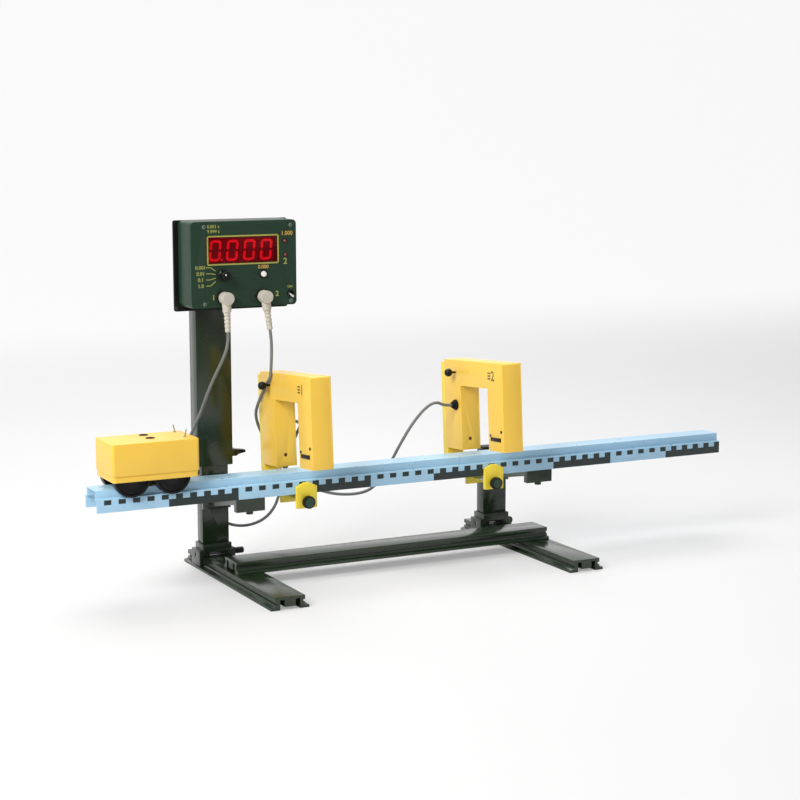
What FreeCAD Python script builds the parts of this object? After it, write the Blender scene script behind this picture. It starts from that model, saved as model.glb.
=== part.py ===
"""A digital timer on a mast, with two light gates, a rolling trolley and a one metre track.

Millimetres. X runs along the track to the right, Y to the back, and Z up from the bench.
The origin is on the bench under the middle of the object.
"""

import FreeCAD, Part
import math
import os
import Sketcher
from FreeCAD import Placement, Rotation, Vector

doc = FreeCAD.newDocument("timer_and_track")
sheet = doc.addObject("Spreadsheet::Sheet", "Sizes")

X_AXIS = Vector(1, 0, 0)
Y_AXIS = Vector(0, 1, 0)
Z_AXIS = Vector(0, 0, 1)

STAND = {
    "left_post_x": -274,
    "right_post_x": 188.5,
    "post_y": 113.5,
    "post_width": 40,
    "post_depth": 20,
    "post_wall": 2.5,
    "post_foot_z": 28.2,
    "left_post_top_z": 300,
    "right_post_top_z": 138,
    "foot_length": 323.5,
    "bar_height": 17.2,
    "bar_deck_width": 43,
    "bar_flange_width": 55,
    "bar_flange_thickness": 3.5,
    "bar_groove_low": 8,
    "bar_groove_high": 11.5,
    "bar_groove_depth": 2.7,
    "bar_deck_thickness": 3.5,
    "bar_cavity_width": 29,
    "bar_core_width": 16,
    "bar_core_lift": 4,
    "rail_left_x": -291.5,
    "rail_right_x": 210,
    "rail_y": 4,
    "bolt_shank": 2,
    "bolt_head": 3.4,
    "bolt_head_height": 3.2,
    "bolt_offset": 3.6,
    "bolt_hole": 2.1,
    "saddle_width": 55,
    "saddle_depth": 31,
    "saddle_low_z": 5.8,
    "saddle_top_z": 36.5,
    "saddle_seat_z": 28,
    "saddle_arch_width": 24,
    "saddle_arch_top_z": 24.6,
    "saddle_collar_width": 43.6,
    "base_screw": 2.4,
    "base_screw_z": 19.8,
    "base_knob": 4.6,
    "left_knob_gap": 4,
    "left_knob_length": 14.3,
    "right_knob_gap": 1.9,
    "right_knob_length": 7,
    "cap_thickness": 2.6,
    "cap_plug_depth": 8,
}

MAST = {
    "mast_width": 53,
    "mast_depth": 26,
    "mast_wall": 2.8,
    "mast_low_z": 150,
    "mast_top_z": 478,
    "liner_height": 40,
    "lever_x": -241,
    "lever_z": 166,
    "lever_hub": 5.5,
    "lever_pin": 2,
    "lever_length": 17,
    "lever_root_height": 8.5,
    "lever_root_depth": 12,
    "lever_tip_low": 2.6,
    "lever_tip_high": 6,
    "lever_tip_inset": 1.5,
    "lever_drop": 4.2,
    "lug_thickness": 3,
    "lug_gap": 13,
}

TRACK = {
    "track_left_x": -500,
    "track_length": 1000,
    "track_front_y": -50,
    "track_back_y": -2,
    "track_low_z": 129.4,
    "ledge_z": 148,
    "track_top_z": 159,
    "ledge_width": 6.5,
    "sheet_metal": 1.5,
    "block_width": 42,
    "block_front_y": -30,
    "block_back_y": -20,
    "block_low_z": 107,
    "block_top_z": 157,
    "arm_width": 20,
    "arm_top_z": 128,
    "arm_low_z": 92,
    "arm_plate_thickness": 6,
    "arm_plate_low_z": 88,
    "arm_plate_top_z": 135,
    "track_bolt_shank": 3,
    "track_bolt_head": 5,
    "track_bolt_head_height": 4,
    "plate_bolt_z": 104,
    "plate_bolt_offset": 15.5,
    "plate_bolt_head": 4,
    "plate_bolt_head_height": 3,
    "plate_gap": 0.1,
}

DISPLAY = {
    "case_left_x": -331.4,
    "case_right_x": -174.4,
    "case_low_z": 383.5,
    "case_top_z": 502.5,
    "case_front_y": 33.3,
    "case_back_y": 81.9,
    "cover_back_y": 100,
    "flange_reach": 7,
    "flange_drop": 7.5,
    "flange_rise": 0.2,
    "flange_thickness": 3.4,
    "flange_corner": 3,
    "flange_screw_inset": 3.6,
    "flange_screw_z": 380.2,
    "case_wall": 3,
    "case_corner": 6,
    "window_left_x": -308.5,
    "window_right_x": -199.5,
    "window_low_z": 442,
    "window_top_z": 483.3,
    "window_thickness": 2,
    "digit_first_x": -304.8,
    "digit_pitch": 25.3,
    "digit_width": 23,
    "digit_height": 33,
    "digit_depth": 8,
    "digit_low_z": 445.5,
    "digit_front_y": 38,
    "knob_x": -284,
    "control_z": 428,
    "knob": 8.3,
    "knob_height": 12,
    "knob_shaft": 3,
    "reset_x": -224.5,
    "reset_cap": 4,
    "reset_proud": 3.4,
    "toggle_x": -184,
    "toggle_z": 399,
    "toggle_lever": 1.5,
    "toggle_length": 10,
    "toggle_tilt": 12,
    "toggle_ball": 2.4,
    "toggle_pin": 0.7,
    "toggle_pin_reach": 3.4,
    "toggle_depth": 5,
    "power_bush": 3.9,
    "selector_body": 8,
    "button_body": 6.5,
    "switch_depth": 14,
    "socket_one_x": -284,
    "socket_two_x": -226,
    "socket_z": 397,
    "socket": 8.6,
    "socket_rim": 10.5,
    "lamp": 2.5,
    "lamp_one_x": -191.7,
    "lamp_one_z": 473,
    "lamp_two_x": -191.2,
    "lamp_two_z": 453.7,
    "case_screw": 1.5,
    "case_screw_head": 2.9,
    "case_screw_inset_x": 8.5,
    "case_screw_inset_z": 7.5,
    "case_screw_inset_left": 19.5,
    "case_screw_inset_low": 5.5,
    "board_inset": 7,
    "board_y": 52,
    "board_thickness": 1.6,
    "clip_thickness": 3,
    "clip_low_z": 420,
    "clip_height": 40,
    "clip_ear": 16,
    "battery_left_x": -290,
    "battery_right_x": -215,
    "battery_front_y": 86.5,
    "battery_back_y": 97.5,
    "battery_height": 48,
    "battery_lift": 10,
    "cell": 7.2,
    "cell_length": 66,
    "cell_pitch": 15,
}

GATE = {
    "gate_one_x": -200.75,
    "gate_two_x": 96.5,
    "gate_lean": 4,
    "gate_pivot_z": 130,
    "casing_thickness": 31,
    "casing_wall": 2.2,
    "casing_cover": 2.8,
    "casing_front_y": -113.6,
    "opening_front_y": -69.7,
    "opening_back_y": 10.05,
    "casing_back_y": 59.4,
    "front_leg_low_z": 34.5,
    "back_leg_low_z": 28.3,
    "opening_top_z": 123.5,
    "casing_top_z": 161,
    "casing_corner": 3,
    "sensor_z": 44.5,
    "sensor": 2.5,
    "sensor_length": 9,
    "peg_y": 24.1,
    "peg_z": 143,
    "peg_ball": 6,
    "peg_stem": 1.5,
    "peg_reach": 12,
    "gland_one_y": 44,
    "gland_one_z": 88,
    "gland_two_y": 25.06,
    "gland_two_z": 94.6,
    "gland": 7.75,
    "gland_length": 8,
    "strip_y": -90.8,
    "strip_z": 51.8,
    "strip_length": 28,
    "strip_height": 5.5,
    "strip_proud": 1.4,
    "gate_lamp_y": -106.7,
    "gate_lamp_z": 63.7,
    "gate_lamp": 2.15,
    "spine_thickness": 14,
    "spine_width": 26,
    "spine_top_z": 156,
    "shelf_low_z": 119.5,
    "shelf_top_z": 127,
    "rear_jaw_front_y": -1.6,
    "rear_jaw_thickness": 5,
    "rear_jaw_low_z": 108.9,
    "rear_jaw_top_z": 140,
    "jaw_width": 31,
    "jaw_front_y": -55,
    "jaw_back_y": -50.35,
    "jaw_shoulder_z": 140,
    "jaw_apex_z": 145.5,
    "jaw_low_z": 109.5,
    "clamp_z": 119,
    "clamp_screw": 3,
    "clamp_knob": 8.9,
    "clamp_knob_length": 9,
    "clamp_knob_front_y": -65.5,
}

TROLLEY = {
    "trolley_left_x": -481.3,
    "trolley_right_x": -359.8,
    "trolley_front_y": -62.3,
    "trolley_back_y": 10.2,
    "trolley_low_z": 169.8,
    "trolley_seam_z": 178,
    "trolley_top_z": 221,
    "trolley_wall": 2.2,
    "trolley_corner": 4,
    "seam_inset": 1.2,
    "wheel": 25,
    "wheel_width": 14.4,
    "wheel_gap": 36.2,
    "wheel_z": 173,
    "rear_wheel_x": -452.5,
    "front_wheel_x": -396,
    "wheel_bay_length": 52,
    "wheel_bay_width": 17.5,
    "axle": 2,
    "bush": 3.8,
    "bush_length": 8,
    "bearing_block_width": 13,
    "bearing_block_low_z": 164.5,
    "socket_cup": 6.3,
    "socket_one_y": -29.5,
    "socket_two_y": -2.8,
    "socket_x": -417.3,
    "pin": 0.9,
    "pin_length": 10,
    "pin_base": 2.4,
    "pin_tilt": 14,
    "bumper_reach": 3,
    "bumper_height": 6,
}

LEADS = {
    "cable": 2.2,
    "plug_head": 8.8,
    "plug_depth": 18,
    "plug_front_y": 15,
    "plug_neck": 7,
    "plug_taper": 6,
    "relief": 4.8,
    "relief_groove": 3.7,
    "relief_start": 19,
    "relief_end": 47,
    "plug_one_tilt": 2,
    "plug_two_tilt": 8,
}


class Size:
    """A number and the sheet formula that gives it."""

    def __init__(self, value, formula):
        self.value = value
        self.formula = formula

    def joined(self, other, sign, value):
        return Size(value, f"({self.formula} {sign} {formula(other)})")

    def __add__(self, other):
        return self.joined(other, "+", self.value + number(other))

    def __sub__(self, other):
        return self.joined(other, "-", self.value - number(other))

    def __mul__(self, other):
        return self.joined(other, "*", self.value * number(other))

    def __truediv__(self, other):
        return self.joined(other, "/", self.value / number(other))

    def __radd__(self, other):
        return Size(number(other), formula(other)) + self

    def __rsub__(self, other):
        return Size(number(other), formula(other)) - self

    def __rmul__(self, other):
        return Size(number(other), formula(other)) * self

    def __neg__(self):
        return Size(0, "0") - self


class Sizes:
    """The sheet's named cells."""

    def __init__(self, *groups):
        row = 1
        for group in groups:
            for name, value in group.items():
                sheet.set(f"A{row}", name.replace("_", " "))
                sheet.set(f"B{row}", str(value))
                sheet.setAlias(f"B{row}", name)
                setattr(self, name, Size(value, f"Sizes.{name}"))
                row += 1
        doc.recompute()


def number(size):
    """The size in millimetres."""
    return size.value if isinstance(size, Size) else size


def formula(size):
    """The size as the sheet's formula language writes it."""
    return size.formula if isinstance(size, Size) else repr(float(size))


size = Sizes(STAND, MAST, TRACK, DISPLAY, GATE, TROLLEY, LEADS)
GROUND = Size(0, "0")
subparts = []


def bind(item, field, value):
    """Ties a field of an object to a size in the sheet."""
    if isinstance(value, Size):
        item.setExpression(field, value.formula)


def name_subpart(item, label):
    """Makes the object a sub-part of its own."""
    item.Label = label
    subparts.append(item)
    return item


def put(item, x=0, y=0, z=0, axis=X_AXIS, angle=0):
    """Places an object at a point, turned about an axis."""
    item.Placement = Placement(Vector(number(x), number(y), number(z)), Rotation(axis, number(angle)))
    for field, value in (("x", x), ("y", y), ("z", z)):
        bind(item, f"Placement.Base.{field}", value)
    if isinstance(angle, Size):
        bind(item, "Placement.Rotation.Angle", angle)
    return item


def box(x0, x1, y0, y1, z0, z1):
    """A block between two corners."""
    item = doc.addObject("Part::Box", "block")
    for field, low, high in (("Length", x0, x1), ("Width", y0, y1), ("Height", z0, z1)):
        span = high - low
        setattr(item, field, number(span))
        bind(item, field, span)
    return put(item, x0, y0, z0)


def rod(radius, length, x, y, z, axis=Z_AXIS):
    """A cylinder from a point along an axis."""
    item = doc.addObject("Part::Cylinder", "rod")
    item.Radius = number(radius)
    item.Height = number(length)
    bind(item, "Radius", radius)
    bind(item, "Height", length)
    turned = Rotation(Z_AXIS, axis)
    put(item, x, y, z)
    item.Placement = Placement(item.Placement.Base, turned)
    return item


def cone(low_radius, high_radius, length, x, y, z, axis=Z_AXIS):
    """A cone from a point along an axis."""
    item = doc.addObject("Part::Cone", "cone")
    item.Radius1 = number(low_radius)
    item.Radius2 = number(high_radius)
    item.Height = number(length)
    bind(item, "Radius1", low_radius)
    bind(item, "Radius2", high_radius)
    bind(item, "Height", length)
    put(item, x, y, z)
    item.Placement = Placement(item.Placement.Base, Rotation(Z_AXIS, axis))
    return item


def ball(radius, x, y, z):
    """A sphere about a point, with its seam to the left."""
    item = doc.addObject("Part::Sphere", "ball")
    item.Radius = number(radius)
    bind(item, "Radius", radius)
    return put(item, x, y, z, Z_AXIS, 180)


def fuse(*items):
    """One solid from several that touch."""
    whole = doc.addObject("Part::MultiFuse", "joined")
    whole.Shapes = list(items)
    return whole


def wedge(**faces):
    """A block whose far face is smaller than its near face, by the names of its sides."""
    item = doc.addObject("Part::Wedge", "wedge")
    for field, value in faces.items():
        setattr(item, field, number(value))
        bind(item, field, value)
    return item


def cut(base, *tools):
    """A solid with others taken out of it."""
    whole = doc.addObject("Part::Cut", "cut")
    whole.Base = base
    whole.Tool = tools[0] if len(tools) == 1 else fuse(*tools)
    return whole


def group(*items):
    """Separate solids that share one sub-part."""
    whole = doc.addObject("Part::Compound", "group")
    whole.Links = list(items)
    return whole


def new_body(label):
    """An empty body that is a sub-part."""
    return name_subpart(doc.addObject("PartDesign::Body", label), label)


def origin_plane(body, role):
    """One of the body's own origin planes."""
    return next(item for item in body.Origin.OriginFeatures if item.Role == role)


def new_sketch(body, plane, level):
    """A sketch on an origin plane of the body, moved along the plane's axis to a level."""
    sketch = body.newObject("Sketcher::SketchObject", "outline")
    sketch.AttachmentSupport = [(origin_plane(body, f"{plane}_Plane"), "")]
    sketch.MapMode = "FlatFace"
    offset = -level if plane == "XZ" else level
    sketch.AttachmentOffset = Placement(Vector(0, 0, number(offset)), Rotation())
    bind(sketch, "AttachmentOffset.Base.z", offset)
    return sketch


def fix_point(sketch, curve, end, x, y):
    """Holds a point of a curve at sizes across and up from the sketch's origin."""
    for kind, value in (("DistanceX", x), ("DistanceY", y)):
        rule = Sketcher.Constraint(kind, -1, 1, curve, end, number(value))
        index = sketch.addConstraint(rule)
        bind(sketch, f"Constraints[{index}]", value)


def polygon(sketch, corners):
    """A closed outline of straight lines through the corners."""
    points = [Vector(number(x), number(y), 0) for x, y in corners]
    count = len(points)
    first = sketch.GeometryCount
    for index, point in enumerate(points):
        sketch.addGeometry(Part.LineSegment(point, points[(index + 1) % count]), False)
    for index, (x, y) in enumerate(corners):
        following = first + (index + 1) % count
        sketch.addConstraint(Sketcher.Constraint("Coincident", first + index, 2, following, 1))
        fix_point(sketch, first + index, 1, x, y)


def rectangle(sketch, x0, y0, x1, y1):
    """A rectangle between two corners."""
    polygon(sketch, [(x0, y0), (x1, y0), (x1, y1), (x0, y1)])


def circle(sketch, x, y, radius):
    """A circle about a point."""
    curve = Part.Circle(Vector(number(x), number(y), 0), Z_AXIS, number(radius))
    index = sketch.addGeometry(curve, False)
    fix_point(sketch, index, 3, x, y)
    rule = sketch.addConstraint(Sketcher.Constraint("Radius", index, number(radius)))
    bind(sketch, f"Constraints[{rule}]", radius)


def finish_feature(body, feature, sketch, length):
    """Sets a feature's sketch and length and makes it the body's tip."""
    feature.Profile = sketch
    feature.Length = number(length)
    bind(feature, "Length", length)
    body.Tip = feature
    doc.recompute()


def pad(body, plane, level, length, draw):
    """Adds the drawn outline as a prism from a level, towards the plane's positive axis."""
    sketch = new_sketch(body, plane, level)
    draw(sketch)
    feature = body.newObject("PartDesign::Pad", "pad")
    feature.Reversed = plane == "XZ"
    finish_feature(body, feature, sketch, length)
    return feature


def pocket(body, plane, level, length, draw):
    """Cuts the drawn outline out of the body from a level, towards the plane's positive axis."""
    before = body.Shape.Volume
    sketch = new_sketch(body, plane, level)
    draw(sketch)
    feature = body.newObject("PartDesign::Pocket", "pocket")
    feature.Reversed = plane != "XZ"
    finish_feature(body, feature, sketch, length)
    if feature.Shape.Volume > before - 0.01:
        raise ValueError(f"a pocket in {body.Label} cuts nothing")
    return feature


def round_edges(body, axis, radius, wanted=None):
    """Rounds the body's straight edges along an axis, all of them or those whose middle is wanted."""
    base = body.Tip
    names = []
    for index, edge in enumerate(base.Shape.Edges, 1):
        straight = isinstance(edge.Curve, (Part.Line, Part.LineSegment))
        if straight and abs(edge.tangentAt(edge.FirstParameter).dot(axis)) > 0.999:
            if wanted is None or wanted(edge.CenterOfMass):
                names.append(f"Edge{index}")
    feature = body.newObject("PartDesign::Fillet", "rounding")
    feature.Base = (base, names)
    feature.Radius = number(radius)
    bind(feature, "Radius", radius)
    body.Tip = feature
    doc.recompute()
    return feature


def bar_outline(sketch, middle, low):
    """The section of the stand's extrusion: a deck, grooved sides, two flanges and a core."""
    deck = size.bar_deck_width / 2
    flange = size.bar_flange_width / 2
    groove = deck - size.bar_groove_depth
    cavity = size.bar_cavity_width / 2
    core = size.bar_core_width / 2
    ceiling = size.bar_height - size.bar_deck_thickness
    half = [
        (core, size.bar_core_lift),
        (core, ceiling),
        (cavity, ceiling),
        (cavity, GROUND),
        (flange, GROUND),
        (flange, size.bar_flange_thickness),
        (deck, size.bar_flange_thickness + 1.5),
        (deck, size.bar_groove_low),
        (groove, size.bar_groove_low),
        (groove, size.bar_groove_high),
        (deck, size.bar_groove_high),
        (deck, size.bar_height),
    ]
    right = [(middle + across, low + up) for across, up in half]
    left = [(middle - across, low + up) for across, up in reversed(half)]
    polygon(sketch, right + left)


def make_foot(post_x):
    """A foot of the stand, with the holes for its two bolts."""
    body = doc.addObject("PartDesign::Body", "foot")
    half = size.foot_length / 2
    pad(body, "XZ", -half, size.foot_length, lambda sketch: bar_outline(sketch, post_x, GROUND))

    def holes(sketch):
        for side in (-1, 1):
            offset = side * size.bolt_offset
            circle(sketch, post_x + offset, size.rail_y + offset, size.bolt_hole)

    pocket(body, "XY", size.bar_core_lift - 1, size.bar_height, holes)
    return body


def make_cross_rail():
    """The bar that lies across the feet."""
    body = new_body("cross_rail")
    length = size.rail_right_x - size.rail_left_x
    pad(
        body, "YZ", size.rail_left_x, length,
        lambda sketch: bar_outline(sketch, size.rail_y, size.bar_height),
    )

    def holes(sketch):
        for post_x in (size.left_post_x, size.right_post_x):
            for side in (-1, 1):
                offset = side * size.bolt_offset
                circle(sketch, post_x + offset, size.rail_y + offset, size.bolt_hole)

    low = size.bar_height + size.bar_core_lift - 1
    pocket(body, "XY", low, size.bar_height - size.bar_core_lift, holes)
    return body


def plate_front():
    """The front face of the arm plates, which stand against the posts."""
    return size.post_y - size.post_depth / 2 - size.plate_gap - size.arm_plate_thickness


def make_frame_bolts():
    """The bolts up through the feet, up into the track, and through the arm plates into the posts."""
    bolts = []
    for post_x in (size.left_post_x, size.right_post_x):
        for side in (-1, 1):
            x = post_x + side * size.bolt_offset
            y = size.rail_y + side * size.bolt_offset
            head_z = size.bar_core_lift - size.bolt_head_height
            head = rod(size.bolt_head, size.bolt_head_height, x, y, head_z)
            shank = rod(size.bolt_shank, size.bar_height + 10, x, y, size.bar_core_lift)
            bolts.append(fuse(head, shank))
        y = (size.block_front_y + size.block_back_y) / 2
        head_z = size.block_low_z - size.track_bolt_head_height
        head = rod(size.track_bolt_head, size.track_bolt_head_height, post_x, y, head_z)
        shank = rod(size.track_bolt_shank, 40, post_x, y, size.block_low_z)
        bolts.append(fuse(head, shank))
        plate_y = plate_front() - 0.02
        head_height = size.plate_bolt_head_height
        for side in (-1, 1):
            x = post_x + side * size.plate_bolt_offset
            head = rod(size.plate_bolt_head, head_height, x, plate_y - head_height, size.plate_bolt_z, Y_AXIS)
            shank = rod(size.bolt_shank, 14, x, plate_y, size.plate_bolt_z, Y_AXIS)
            bolts.append(fuse(head, shank))
    return name_subpart(group(*bolts), "frame_bolts")


def make_saddle(post_x):
    """The casting that straddles a foot, grips it with its cheeks and holds a post in its collar."""
    half = size.saddle_width / 2
    collar = size.saddle_collar_width / 2
    front = size.post_y - size.saddle_depth / 2
    back = size.post_y + size.saddle_depth / 2
    cheek = size.bar_deck_width / 2 + 0.2
    arch = size.saddle_arch_width / 2
    deck_z = size.bar_height + 0.1
    whole = fuse(
        box(post_x - half, post_x + half, front, back, size.saddle_low_z, size.saddle_seat_z),
        box(post_x - collar, post_x + collar, front, back, size.saddle_seat_z, size.saddle_top_z),
    )
    slack = 0.15
    post_half = size.post_width / 2 + slack
    post_deep = size.post_depth / 2 + slack
    screw_hole = rod(
        size.base_screw + 0.06, size.saddle_width + 4, post_x - half - 2, size.post_y,
        size.base_screw_z, X_AXIS,
    )
    return cut(
        whole,
        box(post_x - cheek, post_x + cheek, front - 1, back + 1, size.saddle_low_z - 1, deck_z),
        box(post_x - arch, post_x + arch, front - 1, back + 1, deck_z - 1, size.saddle_arch_top_z),
        box(
            post_x - post_half, post_x + post_half, size.post_y - post_deep, size.post_y + post_deep,
            size.saddle_seat_z, size.saddle_top_z + 1,
        ),
        screw_hole,
    )


def make_base_knob(label, post_x, gap, length):
    """The clamp screw through a saddle, with its knob on the right, screwed in up to a gap."""
    start = post_x - size.saddle_width / 2 + 1
    collar_x = post_x + size.saddle_width / 2
    knob_x = collar_x + gap
    screw = rod(size.base_screw, knob_x - start, start, size.post_y, size.base_screw_z, X_AXIS)
    washer = rod(4.2, 1.4, collar_x + 0.3, size.post_y, size.base_screw_z, X_AXIS)
    knob = rod(size.base_knob, length, knob_x, size.post_y, size.base_screw_z, X_AXIS)
    return name_subpart(fuse(screw, washer, knob), label)


def tube_between(x, half_width, half_depth, wall, low, top):
    """An upright rectangular tube centred on a post."""
    outer = box(x - half_width, x + half_width, size.post_y - half_depth, size.post_y + half_depth, low, top)
    inner_width = half_width - wall
    inner_depth = half_depth - wall
    inner = box(
        x - inner_width, x + inner_width, size.post_y - inner_depth, size.post_y + inner_depth,
        low - 1, top + 1,
    )
    return cut(outer, inner)


def plate_holes(post_x):
    """The holes in the front of a post for the arm plate's bolts."""
    front = size.post_y - size.post_depth / 2
    return [
        rod(size.bolt_hole, 4, post_x + side * size.plate_bolt_offset, front - 1, size.plate_bolt_z, Y_AXIS)
        for side in (-1, 1)
    ]


def make_posts():
    """The two posts, one for each foot."""
    posts = []
    for post_x, top in ((size.left_post_x, size.left_post_top_z), (size.right_post_x, size.right_post_top_z)):
        tube = tube_between(
            post_x, size.post_width / 2, size.post_depth / 2, size.post_wall, size.post_foot_z, top
        )
        posts.append(cut(tube, *plate_holes(post_x)))
    return name_subpart(group(*posts), "posts")


def make_mast():
    """The sleeve that slides over the left post, with the two lugs that hold the clamp lever's pin."""
    x = size.left_post_x
    half = size.mast_width / 2
    tube = tube_between(x, half, size.mast_depth / 2, size.mast_wall, size.mast_low_z, size.mast_top_z)
    side = x + half
    lugs = []
    for direction in (-1, 1):
        middle = size.post_y + direction * (size.lug_gap + size.lug_thickness) / 2
        lug = fuse(
            box(
                side - 1, size.lever_x, middle - size.lug_thickness / 2, middle + size.lug_thickness / 2,
                size.lever_z - 5, size.lever_z + 5,
            ),
            rod(5, size.lug_thickness, size.lever_x, middle - size.lug_thickness / 2, size.lever_z, Y_AXIS),
        )
        lugs.append(lug)
    pin_hole = rod(
        size.lever_pin + 0.06, size.lug_gap * 3, size.lever_x, size.post_y - size.lug_gap * 1.5, size.lever_z,
        Y_AXIS,
    )
    return name_subpart(cut(fuse(tube, *lugs), pin_hole), "mast_tube")


def make_liners():
    """Two strips inside the foot of the sleeve, which take up the play beside the post."""
    x = size.left_post_x
    low = size.mast_low_z + 2
    liners = []
    for direction in (-1, 1):
        inner = x + direction * (size.post_width / 2 + 0.1)
        outer = x + direction * (size.mast_width / 2 - size.mast_wall - 0.1)
        left, right = (inner, outer) if direction > 0 else (outer, inner)
        front = size.post_y - size.post_depth / 2 + 0.5
        back = size.post_y + size.post_depth / 2 - 0.5
        liners.append(box(left, right, front, back, low, low + size.liner_height))
    return name_subpart(group(*liners), "mast_liners")


def make_lever():
    """The cam lever that clamps the sleeve on the post."""
    half = size.lug_gap / 2 - 0.4
    hub = rod(size.lever_hub - 1, half * 2, size.lever_x, size.post_y - half, size.lever_z, Y_AXIS)
    pin_half = size.lug_gap / 2 + size.lug_thickness
    pin = rod(size.lever_pin, pin_half * 2, size.lever_x, size.post_y - pin_half, size.lever_z, Y_AXIS)
    handle = wedge(
        Xmin=0, Ymin=0, Zmin=0,
        Xmax=size.lever_root_height,
        Ymax=size.lever_length,
        Zmax=size.lever_root_depth,
        X2min=size.lever_tip_low,
        X2max=size.lever_tip_high,
        Z2min=size.lever_tip_inset,
        Z2max=size.lever_root_depth - size.lever_tip_inset,
    )
    turned = Rotation(Vector(0, 0, 1), Vector(1, 0, 0), Vector(0, 1, 0), "ZXY")
    front = size.post_y - size.lever_root_depth / 2
    corner = Vector(number(size.lever_x), number(front), number(size.lever_z - size.lever_drop))
    handle.Placement = Placement(corner, turned)
    return name_subpart(fuse(hub, pin, handle), "mast_clamp_lever")


def make_caps():
    """Plastic caps in the top of the right post and of the mast."""
    caps = []
    for x, width, depth, wall, top in (
        (size.right_post_x, size.post_width, size.post_depth, size.post_wall, size.right_post_top_z),
        (size.left_post_x, size.mast_width, size.mast_depth, size.mast_wall, size.mast_top_z),
    ):
        half = width / 2
        deep = depth / 2
        plate = box(
            x - half, x + half, size.post_y - deep, size.post_y + deep, top + 0.05, top + size.cap_thickness
        )
        inner = half - wall - 0.15
        inner_deep = deep - wall - 0.15
        plug = box(
            x - inner, x + inner, size.post_y - inner_deep, size.post_y + inner_deep,
            top - size.cap_plug_depth, top + 1,
        )
        caps.append(fuse(plate, plug))
    return name_subpart(group(*caps), "tube_caps")


def make_track():
    """The one metre track: a folded sheet with a ledge each side of its raised middle."""
    body = new_body("track_rail")
    front = size.track_front_y
    back = size.track_back_y
    wall = size.sheet_metal
    low = size.track_low_z
    ledge = size.ledge_z
    top = size.track_top_z
    step = size.ledge_width
    outline = [
        (front, low),
        (front + wall, low),
        (front + wall, ledge - wall),
        (front + step + wall, ledge - wall),
        (front + step + wall, top - wall),
        (back - step - wall, top - wall),
        (back - step - wall, ledge - wall),
        (back - wall, ledge - wall),
        (back - wall, low),
        (back, low),
        (back, ledge),
        (back - step, ledge),
        (back - step, top),
        (front + step, top),
        (front + step, ledge),
        (front, ledge),
    ]
    pad(body, "YZ", size.track_left_x, size.track_length, lambda sketch: polygon(sketch, outline))
    round_edges(body, X_AXIS, 0.7, lambda middle: middle.z > 147.9)
    return body


def make_track_bracket(post_x):
    """The block under the track, with its gusset arm back to the post."""
    half = size.block_width / 2
    arm = size.arm_width / 2
    plate_back = plate_front() + size.arm_plate_thickness
    middle_y = (size.block_front_y + size.block_back_y) / 2
    under_ledge = size.ledge_z - size.sheet_metal - 0.4
    inside_rib = size.track_back_y - size.ledge_width - size.sheet_metal - 1
    left = post_x - half
    right = post_x + half
    block = fuse(
        box(left, right, size.block_front_y, size.block_back_y, size.block_low_z, under_ledge),
        box(left, right, size.block_front_y, inside_rib, under_ledge - 1, size.block_top_z),
    )
    plate = box(left, right, plate_front(), plate_back, size.arm_plate_low_z, size.arm_plate_top_z)
    web = wedge(
        Xmin=0, X2min=0, Ymin=0,
        Xmax=size.arm_width,
        X2max=size.arm_width,
        Ymax=plate_front() - size.block_back_y + 2,
        Zmin=size.block_low_z + 9,
        Zmax=size.arm_top_z,
        Z2min=size.arm_low_z,
        Z2max=size.arm_top_z,
    )
    put(web, post_x - arm, size.block_back_y - 1, 0)
    holes = [rod(size.track_bolt_shank + 0.1, 60, post_x, middle_y, size.block_low_z - 1)]
    for side in (-1, 1):
        x = post_x + side * size.plate_bolt_offset
        holes.append(rod(size.bolt_hole, 10, x, plate_front() - 1, size.plate_bolt_z, Y_AXIS))
    return cut(fuse(block, plate, web), *holes)


def case_outline(sketch, inset):
    """The display's outline seen from the front, drawn in by an inset."""
    rectangle(
        sketch, size.case_left_x + inset, size.case_low_z + inset,
        size.case_right_x - inset, size.case_top_z - inset,
    )


def make_display_case():
    """The green front shell, with its openings for the window and the controls."""
    body = new_body("display_case")
    depth = size.case_back_y - size.case_front_y
    pad(body, "XZ", size.case_front_y, depth, lambda sketch: case_outline(sketch, 0))
    round_edges(body, Y_AXIS, size.case_corner)
    pocket(
        body, "XZ", size.case_front_y + size.case_wall, depth,
        lambda sketch: case_outline(sketch, size.case_wall),
    )

    def openings(sketch):
        rectangle(
            sketch, size.window_left_x, size.window_low_z, size.window_right_x, size.window_top_z
        )
        circle(sketch, size.knob_x, size.control_z, size.knob_shaft + 0.8)
        circle(sketch, size.reset_x, size.control_z, size.reset_cap + 0.3)
        circle(sketch, size.toggle_x, size.toggle_z, 4.1)
        circle(sketch, size.socket_one_x, size.socket_z, size.socket + 0.1)
        circle(sketch, size.socket_two_x, size.socket_z, size.socket + 0.1)
        circle(sketch, size.lamp_one_x, size.lamp_one_z, size.lamp + 0.1)
        circle(sketch, size.lamp_two_x, size.lamp_two_z, size.lamp + 0.1)
        for x, z in case_screw_places():
            circle(sketch, x, z, size.case_screw + 0.1)

    pocket(body, "XZ", size.case_front_y - 1, size.case_wall + 2, openings)
    return body


def case_screw_places():
    """Where the four screws in the display's front stand."""
    left = size.case_left_x + size.case_screw_inset_left
    right = size.case_right_x - size.case_screw_inset_x
    low = size.case_low_z + size.case_screw_inset_low
    high = size.case_top_z - size.case_screw_inset_z
    return [(x, z) for x in (left, right) for z in (low, high)]


def flange_screw_places():
    """Where the two screws in the rear cover's flange stand."""
    left = size.case_left_x - size.flange_reach + size.flange_screw_inset
    right = size.case_right_x + size.flange_reach - size.flange_screw_inset
    return [(left, size.flange_screw_z), (right, size.flange_screw_z)]


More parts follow.
